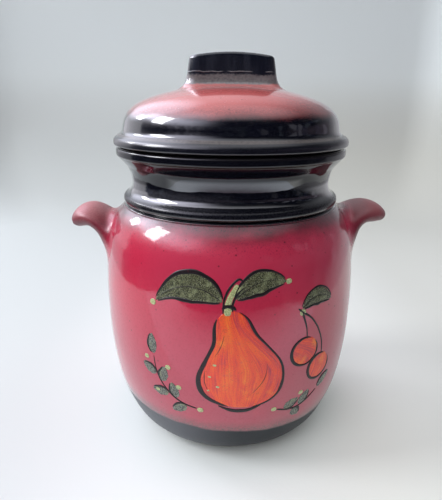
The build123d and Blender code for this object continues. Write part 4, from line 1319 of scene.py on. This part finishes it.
def room():
    """A dim room in front of the pot and a pale one above it, for the glaze to reflect; pale to the eye."""
    w = bpy.data.worlds.new("soft_room")
    w.use_nodes = True
    t = w.node_tree
    t.nodes.clear()
    out = t.nodes.new("ShaderNodeOutputWorld")
    g = Mat.__new__(Mat)
    g.t = t
    g.co = t.nodes.new("ShaderNodeTexCoord").outputs["Generated"]
    s = t.nodes.new("ShaderNodeSeparateXYZ")
    t.links.new(g.co, s.inputs[0])
    g.x, g.y, g.z = s.outputs
    rear = g.mul(g.mul(g.step(g.y, 0.0, 0.70), g.step(g.z, 0.05, 0.35)), g.sub(0.80, g.mul(g.step(g.x, -0.15, 0.55), 0.52)))
    up = g.math("MAXIMUM", g.step(g.z, 0.66, 0.97), rear)
    patch = g.noise(3.4, 3, 0.6)
    hue = g.noise(5.0, 1, 0.5, g.shift((3.1, 1.7, 0.4)))
    dim = g.ramp(patch, [(0.35, (0.004, 0.005, 0.010)), (0.5, (0.014, 0.016, 0.024)), (0.62, (0.045, 0.044, 0.046)), (0.72, (0.16, 0.145, 0.135))])
    d, pick = g.cells(8.5, g.shift((0.3, 0.8, 0.1), (1.0, 1.0, 0.62)), 0.9)
    things = g.ramp(pick, [(0.0, (0.003, 0.004, 0.010)), (0.40, (0.008, 0.010, 0.020)), (0.55, (0.030, 0.036, 0.070)), (0.68, (0.006, 0.008, 0.014)), (0.82, (0.10, 0.12, 0.15)), (0.93, (0.30, 0.30, 0.36))], "CONSTANT")
    dim = g.mix(g.mul(g.step(g.z, 0.46, 0.40), 0.85), dim, things)
    low = g.mul(g.mul(g.step(g.z, 0.31, 0.17), g.step(g.z, -0.10, 0.02)), g.step(g.x, -0.75, -0.35))
    dim = g.mix(g.mul(low, 0.42), dim, g.mix(g.step(hue, 0.35, 0.65), (0.27, 0.21, 0.27), (0.16, 0.125, 0.165)))
    dim = g.mix(g.mul(g.mul(g.step(g.z, 0.03, -0.08), g.step(g.y, 0.2, -0.3)), 0.8), dim, (0.004, 0.004, 0.009))
    right = g.mul(g.step(g.sub(g.y, g.mul(g.z, 1.2)), 0.12, 0.72), g.mul(g.step(g.x, 0.0, 0.4), g.step(g.z, 0.40, 0.15)))
    dim = g.mix(right, dim, (0.50, 0.50, 0.53))
    # the pale wall to the left, with a broken edge, and what stands before it
    torn = g.add(g.mul(g.sub(g.noise(9.0, 2, 0.6, g.shift((1.3, 0.4, 2.2))), 0.5), 0.16), g.y)
    wall = g.sub(torn, g.mul(g.step(g.z, -0.02, -0.10), 0.11))
    left = g.mul(g.mul(g.step(wall, 0.25, 0.33), g.step(g.x, -0.25, -0.45)), g.mul(g.step(g.z, -0.66, -0.50), g.step(g.z, 0.46, 0.30)))
    dim = g.mix(left, dim, g.mix(g.step(g.z, 0.00, -0.12), (0.93, 0.92, 1.0), (0.56, 0.56, 0.61)))
    front = g.step(g.y, -0.60, -0.90)
    dim = g.mix(g.mul(g.mul(front, g.step(g.z, -0.14, 0.02)), 0.62), dim, (0.003, 0.004, 0.009))
    dim = g.mix(g.step(g.z, -0.62, -0.80), dim, (0.62, 0.64, 0.66))
    col = g.mix(up, dim, (0.82, 0.84, 0.90))
    # the bright wall round the window
    wide = g.add(g.add(g.mul(g.x, -0.683), g.mul(g.y, 0.183)), g.mul(g.z, 0.707))
    near = g.add(g.add(g.mul(g.x, -0.557), g.mul(g.y, 0.557)), g.mul(g.z, 0.616))
    col = g.mix(g.mul(g.step(wide, 0.80, 0.97), 0.85), col, (1.0, 0.98, 1.12))
    col = g.mix(g.step(near, 0.87, 0.97), col, (2.3, 2.35, 2.75))
    # the veil of light round the window, which only the glaze picks up
    c = g.add(g.add(g.mul(g.x, -0.761), g.mul(g.y, -0.204)), g.mul(g.z, 0.616))
    tight = g.step(c, 0.44, 1.03)
    tight = g.mul(g.mul(tight, tight), g.mul(tight, tight))
    frayed = g.add(g.z, g.add(g.mul(g.sub(g.noise(13.0, 2, 0.6), 0.5), 0.16), g.mul(g.sub(g.noise(46.0, 2, 0.6), 0.5), 0.10)))
    veil = g.mul(g.add(g.mul(tight, 3.0), g.mul(g.step(c, 0.50, 0.95), 0.24)), g.mul(g.step(frayed, 0.27, 0.50), g.sub(1.0, g.mul(g.step(g.z, 0.58, 0.80), 0.42))))
    lp = t.nodes.new("ShaderNodeLightPath")
    strip = g.add(g.add(g.mul(g.x, -0.838), g.mul(g.y, 0.239)), g.mul(g.z, 0.489))
    veil = g.add(veil, g.mul(g.mul(g.step(strip, 0.945, 0.985), g.step(frayed, 0.40, 0.52)), 2.2))
    veil = g.mul(veil, lp.outputs["Is Glossy Ray"])
    col = g.mix(1.0, col, g.mix(1.0, (0.93, 0.92, 1.10), g.combine(veil, veil, veil), "MULTIPLY"), "ADD")
    # what the sheet's right end would bounce onto the pot and the floor
    fill = g.mul(g.mul(g.step(g.y, -0.35, 0.30), g.step(g.x, 0.05, 0.55)), g.mul(g.step(g.z, -0.05, 0.10), g.sub(1.0, lp.outputs["Is Glossy Ray"])))
    fill = g.mul(fill, 0.55)
    col = g.mix(1.0, col, g.combine(fill, fill, fill), "ADD")
    bg = t.nodes.new("ShaderNodeBackground")
    t.links.new(col, bg.inputs["Color"])
    bg.inputs["Strength"].default_value = 1.0
    pale = t.nodes.new("ShaderNodeBackground")
    pale.inputs["Color"].default_value = (0.62, 0.66, 0.69, 1)
    pale.inputs["Strength"].default_value = 1.0
    mx = t.nodes.new("ShaderNodeMixShader")
    t.links.new(lp.outputs["Is Camera Ray"], mx.inputs[0])
    t.links.new(bg.outputs[0], mx.inputs[1])
    t.links.new(pale.outputs[0], mx.inputs[2])
    t.links.new(mx.outputs[0], out.inputs["Surface"])
    scene.world = w


room()

bpy.context.view_layer.update()
